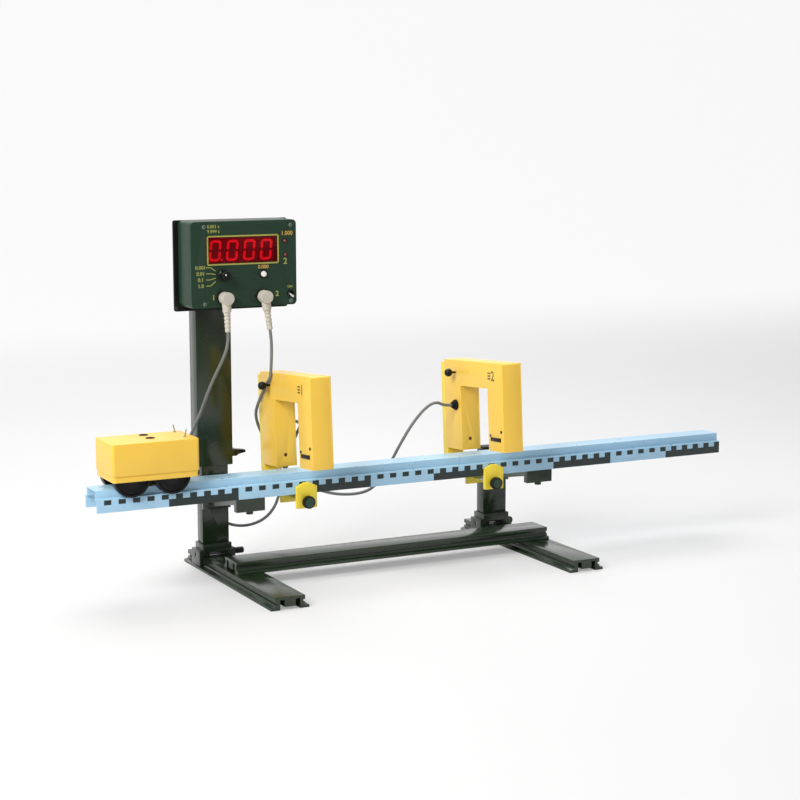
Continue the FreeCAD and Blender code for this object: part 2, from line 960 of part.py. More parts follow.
def make_display_back():
    """The black rear cover, whose flange stands out beside and below the case."""
    body = new_body("display_back")
    front = size.case_back_y + 0.1
    depth = size.cover_back_y - front

    def flange(sketch):
        rectangle(
            sketch, size.case_left_x - size.flange_reach, size.case_low_z - size.flange_drop,
            size.case_right_x + size.flange_reach, size.case_top_z + size.flange_rise,
        )

    pad(body, "XZ", front, size.flange_thickness, flange)
    round_edges(body, Y_AXIS, size.flange_corner)
    box_front = front + size.flange_thickness
    pad(body, "XZ", box_front, depth - size.flange_thickness, lambda sketch: case_outline(sketch, 0.6))
    pocket(body, "XZ", front - 1, depth - 1.5, lambda sketch: case_outline(sketch, size.case_wall + 0.6))

    def holes(sketch):
        for x, z in flange_screw_places():
            circle(sketch, x, z, size.case_screw + 0.1)

    pocket(body, "XZ", front - 1, size.flange_thickness + 2, holes)
    return body


def make_window():
    """The red filter in the display's window."""
    gap = 0.15
    front = size.case_front_y + 0.8
    return name_subpart(
        box(
            size.window_left_x + gap, size.window_right_x - gap, front, front + size.window_thickness,
            size.window_low_z + gap, size.window_top_z - gap,
        ),
        "display_window",
    )


def make_digits():
    """The four digit modules behind the window."""
    modules = []
    for index in range(4):
        left = size.digit_first_x + index * size.digit_pitch
        modules.append(
            box(
                left, left + size.digit_width, size.digit_front_y, size.digit_front_y + size.digit_depth,
                size.digit_low_z, size.digit_low_z + size.digit_height,
            )
        )
    return name_subpart(group(*modules), "digit_modules")


def make_board():
    """The circuit board that carries the digits and the switches."""
    edge = size.board_inset
    left = size.case_left_x + edge
    right = size.case_right_x - edge
    back = size.board_y + size.board_thickness
    board = box(left, right, size.board_y, back, size.case_low_z + edge, size.case_top_z - edge)
    return name_subpart(board, "main_board")


def make_knob():
    """The selector knob with its shaft, which runs in the selector switch."""
    front = size.case_front_y - 0.4 - size.knob_height
    skirt = rod(size.knob, 3, size.knob_x, size.case_front_y - 3.4, size.control_z, Y_AXIS)
    grip = rod(size.knob - 1.6, size.knob_height - 2, size.knob_x, front, size.control_z, Y_AXIS)
    shaft = rod(size.knob_shaft, 12, size.knob_x, size.case_front_y - 1.4, size.control_z, Y_AXIS)
    return name_subpart(fuse(skirt, grip, shaft), "selector_knob")


def make_reset_button():
    """The push button that sets the count back to nought."""
    front = size.case_front_y - size.reset_proud
    cap = rod(size.reset_cap, size.reset_proud + 4.4, size.reset_x, front, size.control_z, Y_AXIS)
    return name_subpart(cap, "reset_button")


def make_toggle():
    """The lever of the power switch, tipped down at rest, with its ball and pin in the switch."""
    pivot_y = size.case_front_y + size.toggle_depth
    lever = cone(
        size.toggle_lever - 0.4, size.toggle_lever, size.toggle_length + size.toggle_depth, 0, 0, 0
    )
    tilt = number(size.toggle_tilt)
    aim = Vector(0, -math.cos(math.radians(tilt)), -math.sin(math.radians(tilt)))
    lever.Placement = Placement(
        Vector(number(size.toggle_x), number(pivot_y), number(size.toggle_z)), Rotation(Z_AXIS, aim)
    )
    reach = size.toggle_pin_reach
    pin = rod(size.toggle_pin, 2 * reach, size.toggle_x - reach, pivot_y, size.toggle_z, X_AXIS)
    joint = ball(size.toggle_ball, size.toggle_x, pivot_y, size.toggle_z)
    return name_subpart(fuse(lever, joint, pin), "power_toggle")


def make_switches():
    """The bodies of the selector, the reset switch and the power switch behind the panel."""
    inside = size.case_front_y + size.case_wall + 0.1
    board = size.board_y - 0.1
    deep = size.switch_depth
    selector = cut(
        rod(size.selector_body, deep, size.knob_x, inside, size.control_z, Y_AXIS),
        rod(size.knob_shaft + 0.06, 9, size.knob_x, inside - 1, size.control_z, Y_AXIS),
    )
    button = cut(
        rod(size.button_body, deep, size.reset_x, inside, size.control_z, Y_AXIS),
        rod(size.reset_cap + 0.08, 6, size.reset_x, inside - 1, size.control_z, Y_AXIS),
    )
    bush = rod(size.power_bush, 4.2, size.toggle_x, size.case_front_y - 1, size.toggle_z, Y_AXIS)
    switch_block = box(
        size.toggle_x - 5.5, size.toggle_x + 5.5, inside, board, size.toggle_z - 6.5, size.toggle_z + 6.5
    )
    pivot_y = size.case_front_y + size.toggle_depth
    pin_room = size.toggle_pin_reach + 0.1
    power = cut(
        fuse(bush, switch_block),
        ball(size.toggle_ball + 0.1, size.toggle_x, pivot_y, size.toggle_z),
        cone(4, 1.6, 8, size.toggle_x, size.case_front_y - 2, size.toggle_z, Y_AXIS),
        rod(size.toggle_pin + 0.06, 2 * pin_room, size.toggle_x - pin_room, pivot_y, size.toggle_z, X_AXIS),
    )
    return name_subpart(group(selector, button, power), "panel_switches")


def make_sockets():
    """The two sockets that the leads plug into."""
    sockets = []
    for x in (size.socket_one_x, size.socket_two_x):
        rim = rod(size.socket_rim, 1.4, x, size.case_front_y - 1.4, size.socket_z, Y_AXIS)
        barrel = rod(size.socket, 18.4, x, size.case_front_y - 1.4, size.socket_z, Y_AXIS)
        bore = rod(6.6, 12, x, size.case_front_y - 1.5, size.socket_z, Y_AXIS)
        sockets.append(cut(fuse(rim, barrel), bore))
    return name_subpart(group(*sockets), "lead_sockets")


def make_lamps():
    """The two small lamps beside the window."""
    lamps = []
    for x, z in ((size.lamp_one_x, size.lamp_one_z), (size.lamp_two_x, size.lamp_two_z)):
        dome = cone(size.lamp * 0.6, size.lamp, 1.6, x, size.case_front_y - 2, z, Y_AXIS)
        stem = rod(size.lamp, 7, x, size.case_front_y - 0.4, z, Y_AXIS)
        lamps.append(fuse(dome, stem))
    return name_subpart(group(*lamps), "indicator_lamps")


def make_case_screws():
    """The four screws in the display's front and the two in its flange."""
    screws = []
    outer = size.case_screw_head
    for x, z in case_screw_places():
        head = cone(outer - 0.7, outer, 1.1, x, size.case_front_y - 1.2, z, Y_AXIS)
        shank = rod(size.case_screw, 16, x, size.case_front_y - 0.4, z, Y_AXIS)
        screws.append(fuse(head, shank))
    for x, z in flange_screw_places():
        head = cone(outer - 0.9, outer - 0.2, 1.1, x, size.case_back_y - 1.1, z, Y_AXIS)
        shank = rod(size.case_screw, size.flange_thickness + 0.4, x, size.case_back_y - 0.3, z, Y_AXIS)
        screws.append(fuse(head, shank))
    return name_subpart(group(*screws), "case_screws")


def make_battery():
    """The battery holder with its three cells, inside the rear cover."""
    low = size.case_low_z + size.battery_lift
    left = size.battery_left_x
    tray = box(
        left, size.battery_right_x, size.battery_front_y, size.battery_back_y, low, low + size.battery_height
    )
    cells = [
        rod(
            size.cell, size.cell_length, left + 4.5, size.battery_front_y - 2.5,
            low + 9 + size.cell_pitch * index, X_AXIS,
        )
        for index in range(3)
    ]
    return name_subpart(fuse(tray, *cells), "battery_pack")


def make_display_clip():
    """The strap behind the mast that carries the display by its two ears."""
    half = size.mast_width / 2 + 0.5
    wall = size.clip_thickness
    x = size.left_post_x
    low = size.clip_low_z
    top = low + size.clip_height
    front = size.cover_back_y + 0.1
    back = size.post_y + size.mast_depth / 2 + 0.3
    left = x - half - wall
    right = x + half + wall
    strap = box(left, right, back, back + wall, low, top)
    left_wing = box(left, x - half, front, back + 1, low, top)
    right_wing = box(x + half, right, front, back + 1, low, top)
    left_ear = box(left - size.clip_ear, left + 1, front, front + wall, low, top)
    right_ear = box(right - 1, right + size.clip_ear, front, front + wall, low, top)
    return name_subpart(fuse(strap, left_wing, right_wing, left_ear, right_ear), "display_clip")


def casing_outline(sketch, inset):
    """A gate's upside-down U seen from its left side, drawn in by an inset."""
    polygon(
        sketch,
        [
            (size.casing_front_y + inset, size.front_leg_low_z + inset),
            (size.opening_front_y - inset, size.front_leg_low_z + inset),
            (size.opening_front_y - inset, size.opening_top_z + inset),
            (size.opening_back_y + inset, size.opening_top_z + inset),
            (size.opening_back_y + inset, size.back_leg_low_z + inset),
            (size.casing_back_y - inset, size.back_leg_low_z + inset),
            (size.casing_back_y - inset, size.casing_top_z - inset),
            (size.casing_front_y + inset, size.casing_top_z - inset),
        ],
    )


def lean(item, gate_x):
    """Stands a piece of a gate on the track, leaning back."""
    return put(item, gate_x, 0, size.gate_pivot_z, X_AXIS, -size.gate_lean)


def make_gate_shell(label, gate_x):
    """The casing of a gate, open towards its cover on the right, with a hole in each leg for the beam."""
    body = new_body(label)
    half = size.casing_thickness / 2
    depth = size.casing_thickness - size.casing_cover - 0.05
    pad(body, "YZ", -half, depth, lambda sketch: casing_outline(sketch, 0))
    front = number(size.casing_front_y)
    back = number(size.casing_back_y)
    top = number(size.casing_top_z)

    def outer_corner(middle):
        at_end = abs(middle.y - front) < 0.5 or abs(middle.y - back) < 0.5
        return at_end and abs(middle.z - top) < 0.5

    round_edges(body, X_AXIS, size.casing_corner, outer_corner)
    pocket(
        body, "YZ", -half + size.casing_wall, depth, lambda sketch: casing_outline(sketch, size.casing_wall)
    )
    centre = -size.casing_cover / 2
    hole = size.sensor + 0.1
    pocket(
        body, "XZ", size.opening_front_y - size.casing_wall - 1, size.casing_wall + 2,
        lambda sketch: circle(sketch, centre, size.sensor_z, hole),
    )
    pocket(
        body, "XZ", size.opening_back_y - 1, size.casing_wall + 2,
        lambda sketch: circle(sketch, centre, size.sensor_z, hole),
    )
    return lean(body, gate_x)


def make_gate_cover(label, gate_x):
    """The flat cover on the right side of a gate."""
    body = new_body(label)
    level = size.casing_thickness / 2 - size.casing_cover
    pad(body, "YZ", level, size.casing_cover, lambda sketch: casing_outline(sketch, 0))
    return lean(body, gate_x)


def make_gate_sensors(label, gate_x):
    """The infrared lamp in the front leg and the light sensor in the back leg."""
    centre = -size.casing_cover / 2
    lamp_start = size.opening_front_y - size.sensor_length
    lamp = rod(size.sensor, size.sensor_length - 0.3, centre, lamp_start, size.sensor_z, Y_AXIS)
    sensor = rod(size.sensor, size.sensor_length, centre, size.opening_back_y + 0.3, size.sensor_z, Y_AXIS)
    return lean(name_subpart(group(lamp, sensor), label), gate_x)


def make_gate_peg(label, gate_x):
    """The peg with a ball end that the lead hangs over."""
    face = -size.casing_thickness / 2
    stem = rod(size.peg_stem, size.peg_reach, face - size.peg_reach, size.peg_y, size.peg_z, X_AXIS)
    knob = ball(size.peg_ball, face - size.peg_reach, size.peg_y, size.peg_z)
    return lean(name_subpart(fuse(stem, knob), label), gate_x)


def make_gate_gland(label, gate_x, side, y, z):
    """The gland where the lead enters the casing, on its left or right side."""
    face = side * size.casing_thickness / 2
    wide = size.gland - 1.35
    narrow = size.cable + 2
    nose_length = size.gland_length - 3
    if side > 0:
        ring = rod(size.gland, 3.5, face + 0.02, y, z, X_AXIS)
        nose = cone(wide, narrow, nose_length, face + 3, y, z, X_AXIS)
    else:
        ring = rod(size.gland, 3.5, face - 3.52, y, z, X_AXIS)
        nose = cone(narrow, wide, nose_length, face - size.gland_length, y, z, X_AXIS)
    return lean(name_subpart(fuse(ring, nose), label), gate_x)


def make_gate_trim(label, gate_x):
    """The black strip and the small lamp on the left side of the front leg."""
    face = -size.casing_thickness / 2
    half = size.strip_length / 2
    deep = size.strip_height / 2
    strip = box(
        face - size.strip_proud, face - 0.02, size.strip_y - half, size.strip_y + half,
        size.strip_z - deep, size.strip_z + deep,
    )
    lamp = rod(size.gate_lamp, 1.2, face - 1.22, size.gate_lamp_y, size.gate_lamp_z, X_AXIS)
    return lean(name_subpart(group(strip, lamp), label), gate_x)


def leaned(y, z):
    """A point of the leaning casing, across and up, as it stands on the track."""
    angle = math.radians(number(size.gate_lean))
    across = number(y) * math.cos(angle) + number(z) * math.sin(angle)
    up = number(size.gate_pivot_z) - number(y) * math.sin(angle) + number(z) * math.cos(angle)
    return across, up


def make_gate_bracket(label, gate_x):
    """The spine up the back of a casing, the shelf under it and the jaw behind the track."""
    body = new_body(label)
    inner = size.casing_back_y + 0.1
    outer = inner + size.spine_thickness
    spine_top_front = leaned(inner, size.spine_top_z)
    spine_top_back = leaned(outer, size.spine_top_z)
    heel_back = leaned(outer, 5)
    heel_front = leaned(inner, 0)
    jaw_front = size.rear_jaw_front_y
    outline = [
        spine_top_front,
        heel_front,
        (heel_front[0] - 6, size.shelf_top_z),
        (jaw_front, size.shelf_top_z),
        (jaw_front, size.shelf_low_z),
        (heel_back[0] - 8, size.shelf_low_z),
        heel_back,
        spine_top_back,
    ]
    width = size.spine_width
    pad(body, "YZ", -width / 2, width, lambda sketch: polygon(sketch, outline))
    half = size.jaw_width / 2
    pad(
        body, "XZ", jaw_front, size.rear_jaw_thickness,
        lambda sketch: rectangle(sketch, -half, size.rear_jaw_low_z, half, size.rear_jaw_top_z),
    )
    pocket(
        body, "XZ", jaw_front - 1, size.rear_jaw_thickness + 6,
        lambda sketch: circle(sketch, 0, size.clamp_z, size.clamp_screw + 0.08),
    )
    return put(body, gate_x, 0, 0)


def make_gate_jaw(label, gate_x):
    """The five-sided plate that the clamp screw pulls against the front of the track."""
    body = new_body(label)
    half = size.jaw_width / 2
    outline = [
        (-half, size.jaw_low_z),
        (half, size.jaw_low_z),
        (half, size.jaw_shoulder_z),
        (half / 4, size.jaw_apex_z),
        (-half / 4, size.jaw_apex_z),
        (-half, size.jaw_shoulder_z),
    ]
    thickness = size.jaw_back_y - size.jaw_front_y
    pad(body, "XZ", size.jaw_front_y, thickness, lambda sketch: polygon(sketch, outline))
    round_edges(body, Y_AXIS, 1.5)
    pocket(
        body, "XZ", size.jaw_front_y - 1, thickness + 2,
        lambda sketch: circle(sketch, 0, size.clamp_z, size.clamp_screw + 0.08),
    )
    return put(body, gate_x, 0, 0)


def make_gate_knob(label, gate_x):
    """The clamp screw of a gate, with its round knob and its cap."""
    front = size.clamp_knob_front_y
    screw_end = size.rear_jaw_front_y + size.rear_jaw_thickness + 3
    knob_back = front + size.clamp_knob_length
    knob = rod(size.clamp_knob, size.clamp_knob_length, 0, front, size.clamp_z, Y_AXIS)
    cap = rod(3.8, 1.6, 0, front - 0.8, size.clamp_z, Y_AXIS)
    screw = rod(size.clamp_screw, screw_end - knob_back + 1, 0, knob_back - 1, size.clamp_z, Y_AXIS)
    return put(name_subpart(fuse(knob, cap, screw), label), gate_x, 0, 0)


def make_gate(index, gate_x, gland_side, gland_y, gland_z):
    """All the pieces of one light gate."""
    name = f"gate_{index}"
    make_gate_shell(f"{name}_shell", gate_x)
    make_gate_cover(f"{name}_cover", gate_x)
    make_gate_sensors(f"{name}_sensors", gate_x)
    make_gate_peg(f"{name}_lead_peg", gate_x)
    make_gate_gland(f"{name}_gland", gate_x, gland_side, gland_y, gland_z)
    make_gate_trim(f"{name}_trim", gate_x)
    make_gate_bracket(f"{name}_bracket", gate_x)
    make_gate_jaw(f"{name}_jaw", gate_x)
    make_gate_knob(f"{name}_clamp_knob", gate_x)


def trolley_outline(sketch, inset):
    """The trolley's outline seen from above, drawn in by an inset."""
    rectangle(
        sketch, size.trolley_left_x + inset, size.trolley_front_y + inset,
        size.trolley_right_x - inset, size.trolley_back_y - inset,
    )


def make_trolley_body():
    """The upper shell of the trolley, open below, with the two round holes in its top."""
    body = new_body("trolley_body")
    low = size.trolley_seam_z + 0.1
    height = size.trolley_top_z - low
    pad(body, "XY", low, height, lambda sketch: trolley_outline(sketch, 0))
    round_edges(body, Z_AXIS, size.trolley_corner)
    pocket(
        body, "XY", low - 1, height - size.trolley_wall + 1,
        lambda sketch: trolley_outline(sketch, size.trolley_wall),
    )

    def holes(sketch):
        for y in (size.socket_one_y, size.socket_two_y):
            circle(sketch, size.socket_x, y, size.socket_cup + 0.1)

    pocket(body, "XY", size.trolley_top_z - size.trolley_wall - 1, size.trolley_wall + 2, holes)
    return body


def wheel_spans():
    """The front and back edges of the wheels on each side of the trolley."""
    middle = (size.trolley_front_y + size.trolley_back_y) / 2
    inner = size.wheel_gap / 2
    outer = inner + size.wheel_width
    return [(middle - outer, middle - inner), (middle + inner, middle + outer)]


def make_trolley_base():
    """The base of the trolley: a tray with four wheel bays and the blocks that carry the axles."""
    body = new_body("trolley_base")
    height = size.trolley_seam_z - size.trolley_low_z
    pad(body, "XY", size.trolley_low_z, height, lambda sketch: trolley_outline(sketch, size.seam_inset))
    round_edges(body, Z_AXIS, size.trolley_corner)
    spare = (size.wheel_bay_width - size.wheel_width) / 2
    bay = size.wheel_bay_length / 2

    def bays(sketch):
        for wheel_x in (size.rear_wheel_x, size.front_wheel_x):
            for start, end in wheel_spans():
                rectangle(sketch, wheel_x - bay, start - spare, wheel_x + bay, end + spare)

    pocket(body, "XY", size.trolley_low_z - 1, height + 2, bays)
    middle = (size.trolley_front_y + size.trolley_back_y) / 2
    inner = size.wheel_gap / 2 - spare
    block = size.bearing_block_width / 2

    def blocks(sketch):
        for wheel_x in (size.rear_wheel_x, size.front_wheel_x):
            rectangle(sketch, wheel_x - block, middle - inner, wheel_x + block, middle + inner)

    pad(body, "XY", size.bearing_block_low_z, size.trolley_seam_z - size.bearing_block_low_z, blocks)

    def bores(sketch):
        for wheel_x in (size.rear_wheel_x, size.front_wheel_x):
            circle(sketch, wheel_x, size.wheel_z, size.bush + 0.02)

    pocket(body, "XZ", middle - inner - 1, 2 * inner + 2, bores)
    return body


def make_axle(label, wheel_x):
    """A steel axle."""
    start = wheel_spans()[0][0] - 0.6
    end = wheel_spans()[1][1] + 0.6
    return name_subpart(rod(size.axle, end - start, wheel_x, start, size.wheel_z, Y_AXIS), label)


def make_wheels(label, wheel_x):
    """The two wheels on one axle: a dished disc with a rim and a hub."""
    wheels = []
    for start, end in wheel_spans():
        width = end - start
        disc = rod(size.wheel, width, wheel_x, start, size.wheel_z, Y_AXIS)
        rim = size.wheel - 3.5
        dish_front = rod(rim, 3, wheel_x, start - 1, size.wheel_z, Y_AXIS)
        dish_back = rod(rim, 3, wheel_x, end - 2, size.wheel_z, Y_AXIS)
        hub = rod(5.5, width, wheel_x, start, size.wheel_z, Y_AXIS)
        bore = rod(size.axle + 0.02, width + 2, wheel_x, start - 1, size.wheel_z, Y_AXIS)
        wheels.append(cut(fuse(cut(disc, dish_front, dish_back), hub), bore))
    return name_subpart(group(*wheels), label)


def make_bushes():
    """The four plain bearings that the axles turn in."""
    middle = (size.trolley_front_y + size.trolley_back_y) / 2
    inner = size.wheel_gap / 2 - (size.wheel_bay_width - size.wheel_width) / 2
    bushes = []
    for wheel_x in (size.rear_wheel_x, size.front_wheel_x):
        for start in (middle - inner, middle + inner - size.bush_length):
            sleeve = rod(size.bush, size.bush_length, wheel_x, start, size.wheel_z, Y_AXIS)
            bore = rod(size.axle + 0.06, size.bush_length + 2, wheel_x, start - 1, size.wheel_z, Y_AXIS)
            bushes.append(cut(sleeve, bore))
    return name_subpart(group(*bushes), "axle_bushes")


def make_top_fittings():
    """The two round plugs in the trolley's top and the two pins near its right end."""
    top = size.trolley_top_z
    pieces = []
    for y in (size.socket_one_y, size.socket_two_y):
        plug = rod(size.socket_cup, 6, size.socket_x, y, top - 5.4)
        dish = rod(size.socket_cup - 2.4, 2, size.socket_x, y, top - 0.4)
        pieces.append(cut(plug, dish))
    for x, y, side in ((-373.0, -41.5, 1), (-370.5, 3.0, -1)):
        base = cone(size.pin_base, size.pin_base - 1, 1.2, x, y, top + 0.02)
        pin = rod(size.pin, size.pin_length, x, y, top + 0.4)
        pin.Placement = Placement(pin.Placement.Base, Rotation(Y_AXIS, side * number(size.pin_tilt)))
        pieces.append(fuse(base, pin))
    return name_subpart(group(*pieces), "trolley_top_fittings")


def make_bumper():
    """The rubber strip across the trolley's right end."""
    right = size.trolley_right_x - size.seam_inset + 0.02
    low = size.trolley_low_z + 1
    return name_subpart(
        box(
            right, right + size.bumper_reach, size.trolley_front_y + 6, size.trolley_back_y - 6,
            low, low + size.bumper_height,
        ),
        "trolley_bumper",
    )


def make_plug(label, socket_x, tilt):
    """A round right-angle plug with its ribbed strain relief, turned about the socket's axis."""
    head_y = size.plug_front_y
    head = rod(size.plug_head, size.plug_depth - 1.6, socket_x, head_y, size.socket_z, Y_AXIS)
    nose = rod(6.2, 10, socket_x, head_y + size.plug_depth - 2, size.socket_z, Y_AXIS)
    tail_y = head_y + 9
    start = size.relief_start
    tail = [cone(size.plug_neck, size.plug_taper, start, 0, 0, 0, -Z_AXIS)]
    ribs = 5
    pitch = (number(size.relief_end) - number(start)) / ribs
    for index in range(ribs):
        low = number(start) + pitch * index
        tail.append(rod(size.relief_groove, pitch, 0, 0, -low, -Z_AXIS))
        tail.append(rod(size.relief - 0.18 * index, pitch * 0.55, 0, 0, -low - pitch * 0.2, -Z_AXIS))
    arm = fuse(*tail)
    put(arm, socket_x, tail_y, size.socket_z, Y_AXIS, -tilt)
    return name_subpart(fuse(head, nose, arm), label)


def plug_end(socket_x, tilt):
    """The point where the lead leaves a plug, and the way it points."""
    angle = math.radians(number(tilt))
    aim = Vector(math.sin(angle), 0, -math.cos(angle))
    start = Vector(number(socket_x), number(size.plug_front_y) + 9, number(size.socket_z))
    return start + aim * number(size.relief_end), aim


def tube(label, route):
    """A lead of round section along straight runs joined by arcs, with the radii printed."""
    points = [Vector(*point) for point in route]
    edges = []
    radii = []
    here = points[0]
    for before, corner, after in zip(points, points[1:], points[2:]):
        back = (before - corner).normalize()
        ahead = (after - corner).normalize()
        half_turn = (math.pi - back.getAngle(ahead)) / 2
        reach = 0.45 * min((before - corner).Length, (after - corner).Length)
        radius = reach / math.tan(half_turn)
        radii.append(round(radius, 1))
        start = corner + back * reach
        end = corner + ahead * reach
        bisector = (back + ahead).normalize()
        middle = corner + bisector * (radius / math.cos(half_turn) - radius)
        edges.append(Part.LineSegment(here, start).toShape())
        edges.append(Part.Arc(start, middle, end).toShape())
        here = end
    edges.append(Part.LineSegment(here, points[-1]).toShape())
    path = Part.Wire(edges)
    radius = number(size.cable)
    ring = Part.Wire([Part.Circle(points[0], points[1] - points[0], radius).toShape()])
    sweep = Part.BRepOffsetAPI.MakePipeShell(path)
    sweep.add(ring)
    sweep.build()
    sweep.makeSolid()
    item = doc.addObject("Part::Feature", label)
    item.Shape = sweep.shape()
    expected = math.pi * radius**2 * path.Length
    print(label, "length", round(path.Length, 1), "volume ratio", round(item.Shape.Volume / expected, 4))
    print(label, "radii", radii)
    return name_subpart(item, label)


def along(start, aim, distance):
    """The point some way from a start."""
    point = start + aim * distance
    return (point.x, point.y, point.z)


def make_leads():
    """The lead of each gate, from its plug to its gland. The second hangs over the first gate's peg."""
    start, aim = plug_end(size.socket_one_x, size.plug_one_tilt)
    gland_x = number(size.gate_one_x) + number(size.casing_thickness) / 2 + number(size.gland_length)
    gland_y, gland_z = leaned(size.gland_one_y, size.gland_one_z)
    tube(
        "lead_1",
        [
            along(start, aim, 0),
            along(start, aim, 16),
            (-287.5, 31, 312),
            (-299.5, 49, 275),
            (-305, 68, 240),
            (-308.5, 90, 212),
            (-309, 117, 186),
            (-301, 137, 158),
            (-288, 144, 121),
            (-272, 145, 84),
            (-249, 143, 57),
            (-220, 137, 48),
            (-194, 124, 56),
            (-179.5, 110, 76),
            (-174.5, 99, 104),
            (-171.5, 80, 145),
            (-169.5, 64, 178),
            (-166, 55.5, 196.5),
            (-161.5, 50.8, 208.5),
            (-169.2, gland_y, gland_z),
            (gland_x, gland_y, gland_z),
        ],
    )
    start, aim = plug_end(size.socket_two_x, size.plug_two_tilt)
    peg_y, peg_z = leaned(size.peg_y, size.peg_z)
    peg_x = number(size.gate_one_x) - number(size.casing_thickness) / 2 - 3.1
    slope = Vector(0, 0.8, -0.6)
    clear = (number(size.peg_stem) + number(size.cable) + 0.4) / slope.y
    over = Vector(peg_x, peg_y, peg_z + clear)
    tube(
        "lead_2_upper",
        [
            along(start, aim, 0),
            along(start, aim, 13),
            (-217.2, 24.6, 318),
            (-218.4, 24.2, 297),
            (peg_x, 24.6, 285),
            along(over, slope, -8),
            along(over, slope, 0),
        ],
    )
    sag = Vector(-84, 45, 101)
    level = Vector(0.995, -0.1, 0).normalize()
    tube(
        "lead_2_middle",
        [
            along(over, slope, 0),
            along(over, slope, 10),
            (-219.7, 54, 257),
            (-221, 68, 240),
            (-219, 83, 222),
            (-208, 95, 200),
            (-192, 99, 170),
            (-171, 90, 138),
            (-144, 71, 114),
            along(sag, level, -25),
            along(sag, level, 0),
        ],
    )
    gland_x = number(size.gate_two_x) - number(size.casing_thickness) / 2 - number(size.gland_length)
    gland_y, gland_z = leaned(size.gland_two_y, size.gland_two_z)
    tube(
        "lead_2_lower",
        [
            along(sag, level, 0),
            along(sag, level, 20),
            (-44, 39, 115),
            (-26, 37, 142),
            (-11.5, 35, 169),
            (10.5, 33, 202.5),
            (33, 32, 224.5),
            (48.5, 31.8, 229.3),
            (61, gland_y, gland_z),
            (gland_x, gland_y, gland_z),
        ],
    )


def make_stand():
    """The two-footed stand with its posts, mast and track."""
    name_subpart(group(make_foot(size.left_post_x), make_foot(size.right_post_x)), "feet")
    make_cross_rail()
    make_frame_bolts()
    name_subpart(group(make_saddle(size.left_post_x), make_saddle(size.right_post_x)), "post_saddles")
    make_base_knob("left_base_knob", size.left_post_x, size.left_knob_gap, size.left_knob_length)
    make_base_knob("right_base_knob", size.right_post_x, size.right_knob_gap, size.right_knob_length)
    make_posts()
    make_caps()
    make_mast()
    make_liners()
    make_lever()
    make_track()
    name_subpart(
        group(make_track_bracket(size.left_post_x), make_track_bracket(size.right_post_x)), "track_brackets"
    )


def make_display():
    """The four-digit timer on the mast."""
    make_display_case()
    make_display_back()
    make_window()
    make_digits()
    make_board()
    make_knob()
    make_reset_button()
    make_toggle()
    make_switches()
    make_sockets()
    make_lamps()
    make_case_screws()
    make_battery()
    make_display_clip()


def make_trolley():
    """The four-wheeled trolley."""
    make_trolley_body()
    make_trolley_base()
    make_axle("rear_axle", size.rear_wheel_x)
    make_axle("front_axle", size.front_wheel_x)
    make_wheels("rear_wheels", size.rear_wheel_x)
    make_wheels("front_wheels", size.front_wheel_x)
    make_bushes()
    make_top_fittings()
    make_bumper()


def check_document():
    """Stops if an object failed or a sub-part has no valid shape."""
    for item in doc.Objects:
        if "Invalid" in item.State or "Error" in item.State:
            raise ValueError(f"{item.Label} failed")
    for item in subparts:
        if item.Shape.isNull() or not item.Shape.isValid():
            raise ValueError(f"{item.Label} has no valid shape")


def write_subparts():
    """Writes each sub-part to a file of its own."""
    os.makedirs("parts", exist_ok=True)
    for item in subparts:
        item.Shape.exportStep(f"parts/{item.Label}.step")
        solids = len(item.Shape.Solids)
        print(item.Label, "solids", solids, "volume", round(item.Shape.Volume))
    print("sub-parts", len(subparts))


make_stand()
make_display()
make_gate(1, size.gate_one_x, 1, size.gland_one_y, size.gland_one_z)
make_gate(2, size.gate_two_x, -1, size.gland_two_y, size.gland_two_z)
make_trolley()
make_plug("plug_1", size.socket_one_x, size.plug_one_tilt)
make_plug("plug_2", size.socket_two_x, size.plug_two_tilt)
make_leads()
doc.recompute()
check_document()
write_subparts()
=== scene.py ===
"""The looks of a classroom motion timer: stand, track, display, light gates, trolley and leads.

Metres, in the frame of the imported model: X along the track, Y to the back, Z up from the bench.
"""

import logging
import math
from collections.abc import Callable, Iterable
from dataclasses import dataclass
from enum import Enum

import bpy
from mathutils import Matrix, Vector


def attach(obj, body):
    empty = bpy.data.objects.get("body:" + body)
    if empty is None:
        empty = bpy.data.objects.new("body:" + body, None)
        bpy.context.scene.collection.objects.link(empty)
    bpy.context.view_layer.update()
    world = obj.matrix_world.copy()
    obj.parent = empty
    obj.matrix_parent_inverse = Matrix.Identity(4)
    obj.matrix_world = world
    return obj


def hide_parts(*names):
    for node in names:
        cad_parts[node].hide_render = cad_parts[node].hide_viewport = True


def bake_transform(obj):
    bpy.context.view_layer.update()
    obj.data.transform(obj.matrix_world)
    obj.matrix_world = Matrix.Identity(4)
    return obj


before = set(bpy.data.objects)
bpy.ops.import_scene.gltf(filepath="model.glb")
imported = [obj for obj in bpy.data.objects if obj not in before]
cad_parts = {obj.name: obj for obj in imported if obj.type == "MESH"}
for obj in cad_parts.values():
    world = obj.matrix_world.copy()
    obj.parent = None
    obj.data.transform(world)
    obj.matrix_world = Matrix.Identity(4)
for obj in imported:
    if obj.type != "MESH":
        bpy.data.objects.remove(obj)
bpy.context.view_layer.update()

MM = 0.001
FRAME_PIXELS = 800
SENSOR_MM = 36.0
SHARP_EDGE = math.radians(32)
SMOOTH_EDGE = math.radians(38)
FLAT_ANGLE = math.radians(1.5)
MERGE_DISTANCE = 0.000002
PRINT_THICKNESS = 0.00006
SIZE_PER_HEIGHT = 1.43
BOLDER = 0.02
FLUTE_SHARE = 0.52
FLUTE_STANDOFF = 0.45

Colour = tuple[float, float, float]
Point = tuple[float, float, float]
Profile = list[tuple[float, float]]

log = logging.getLogger("motion_timer")


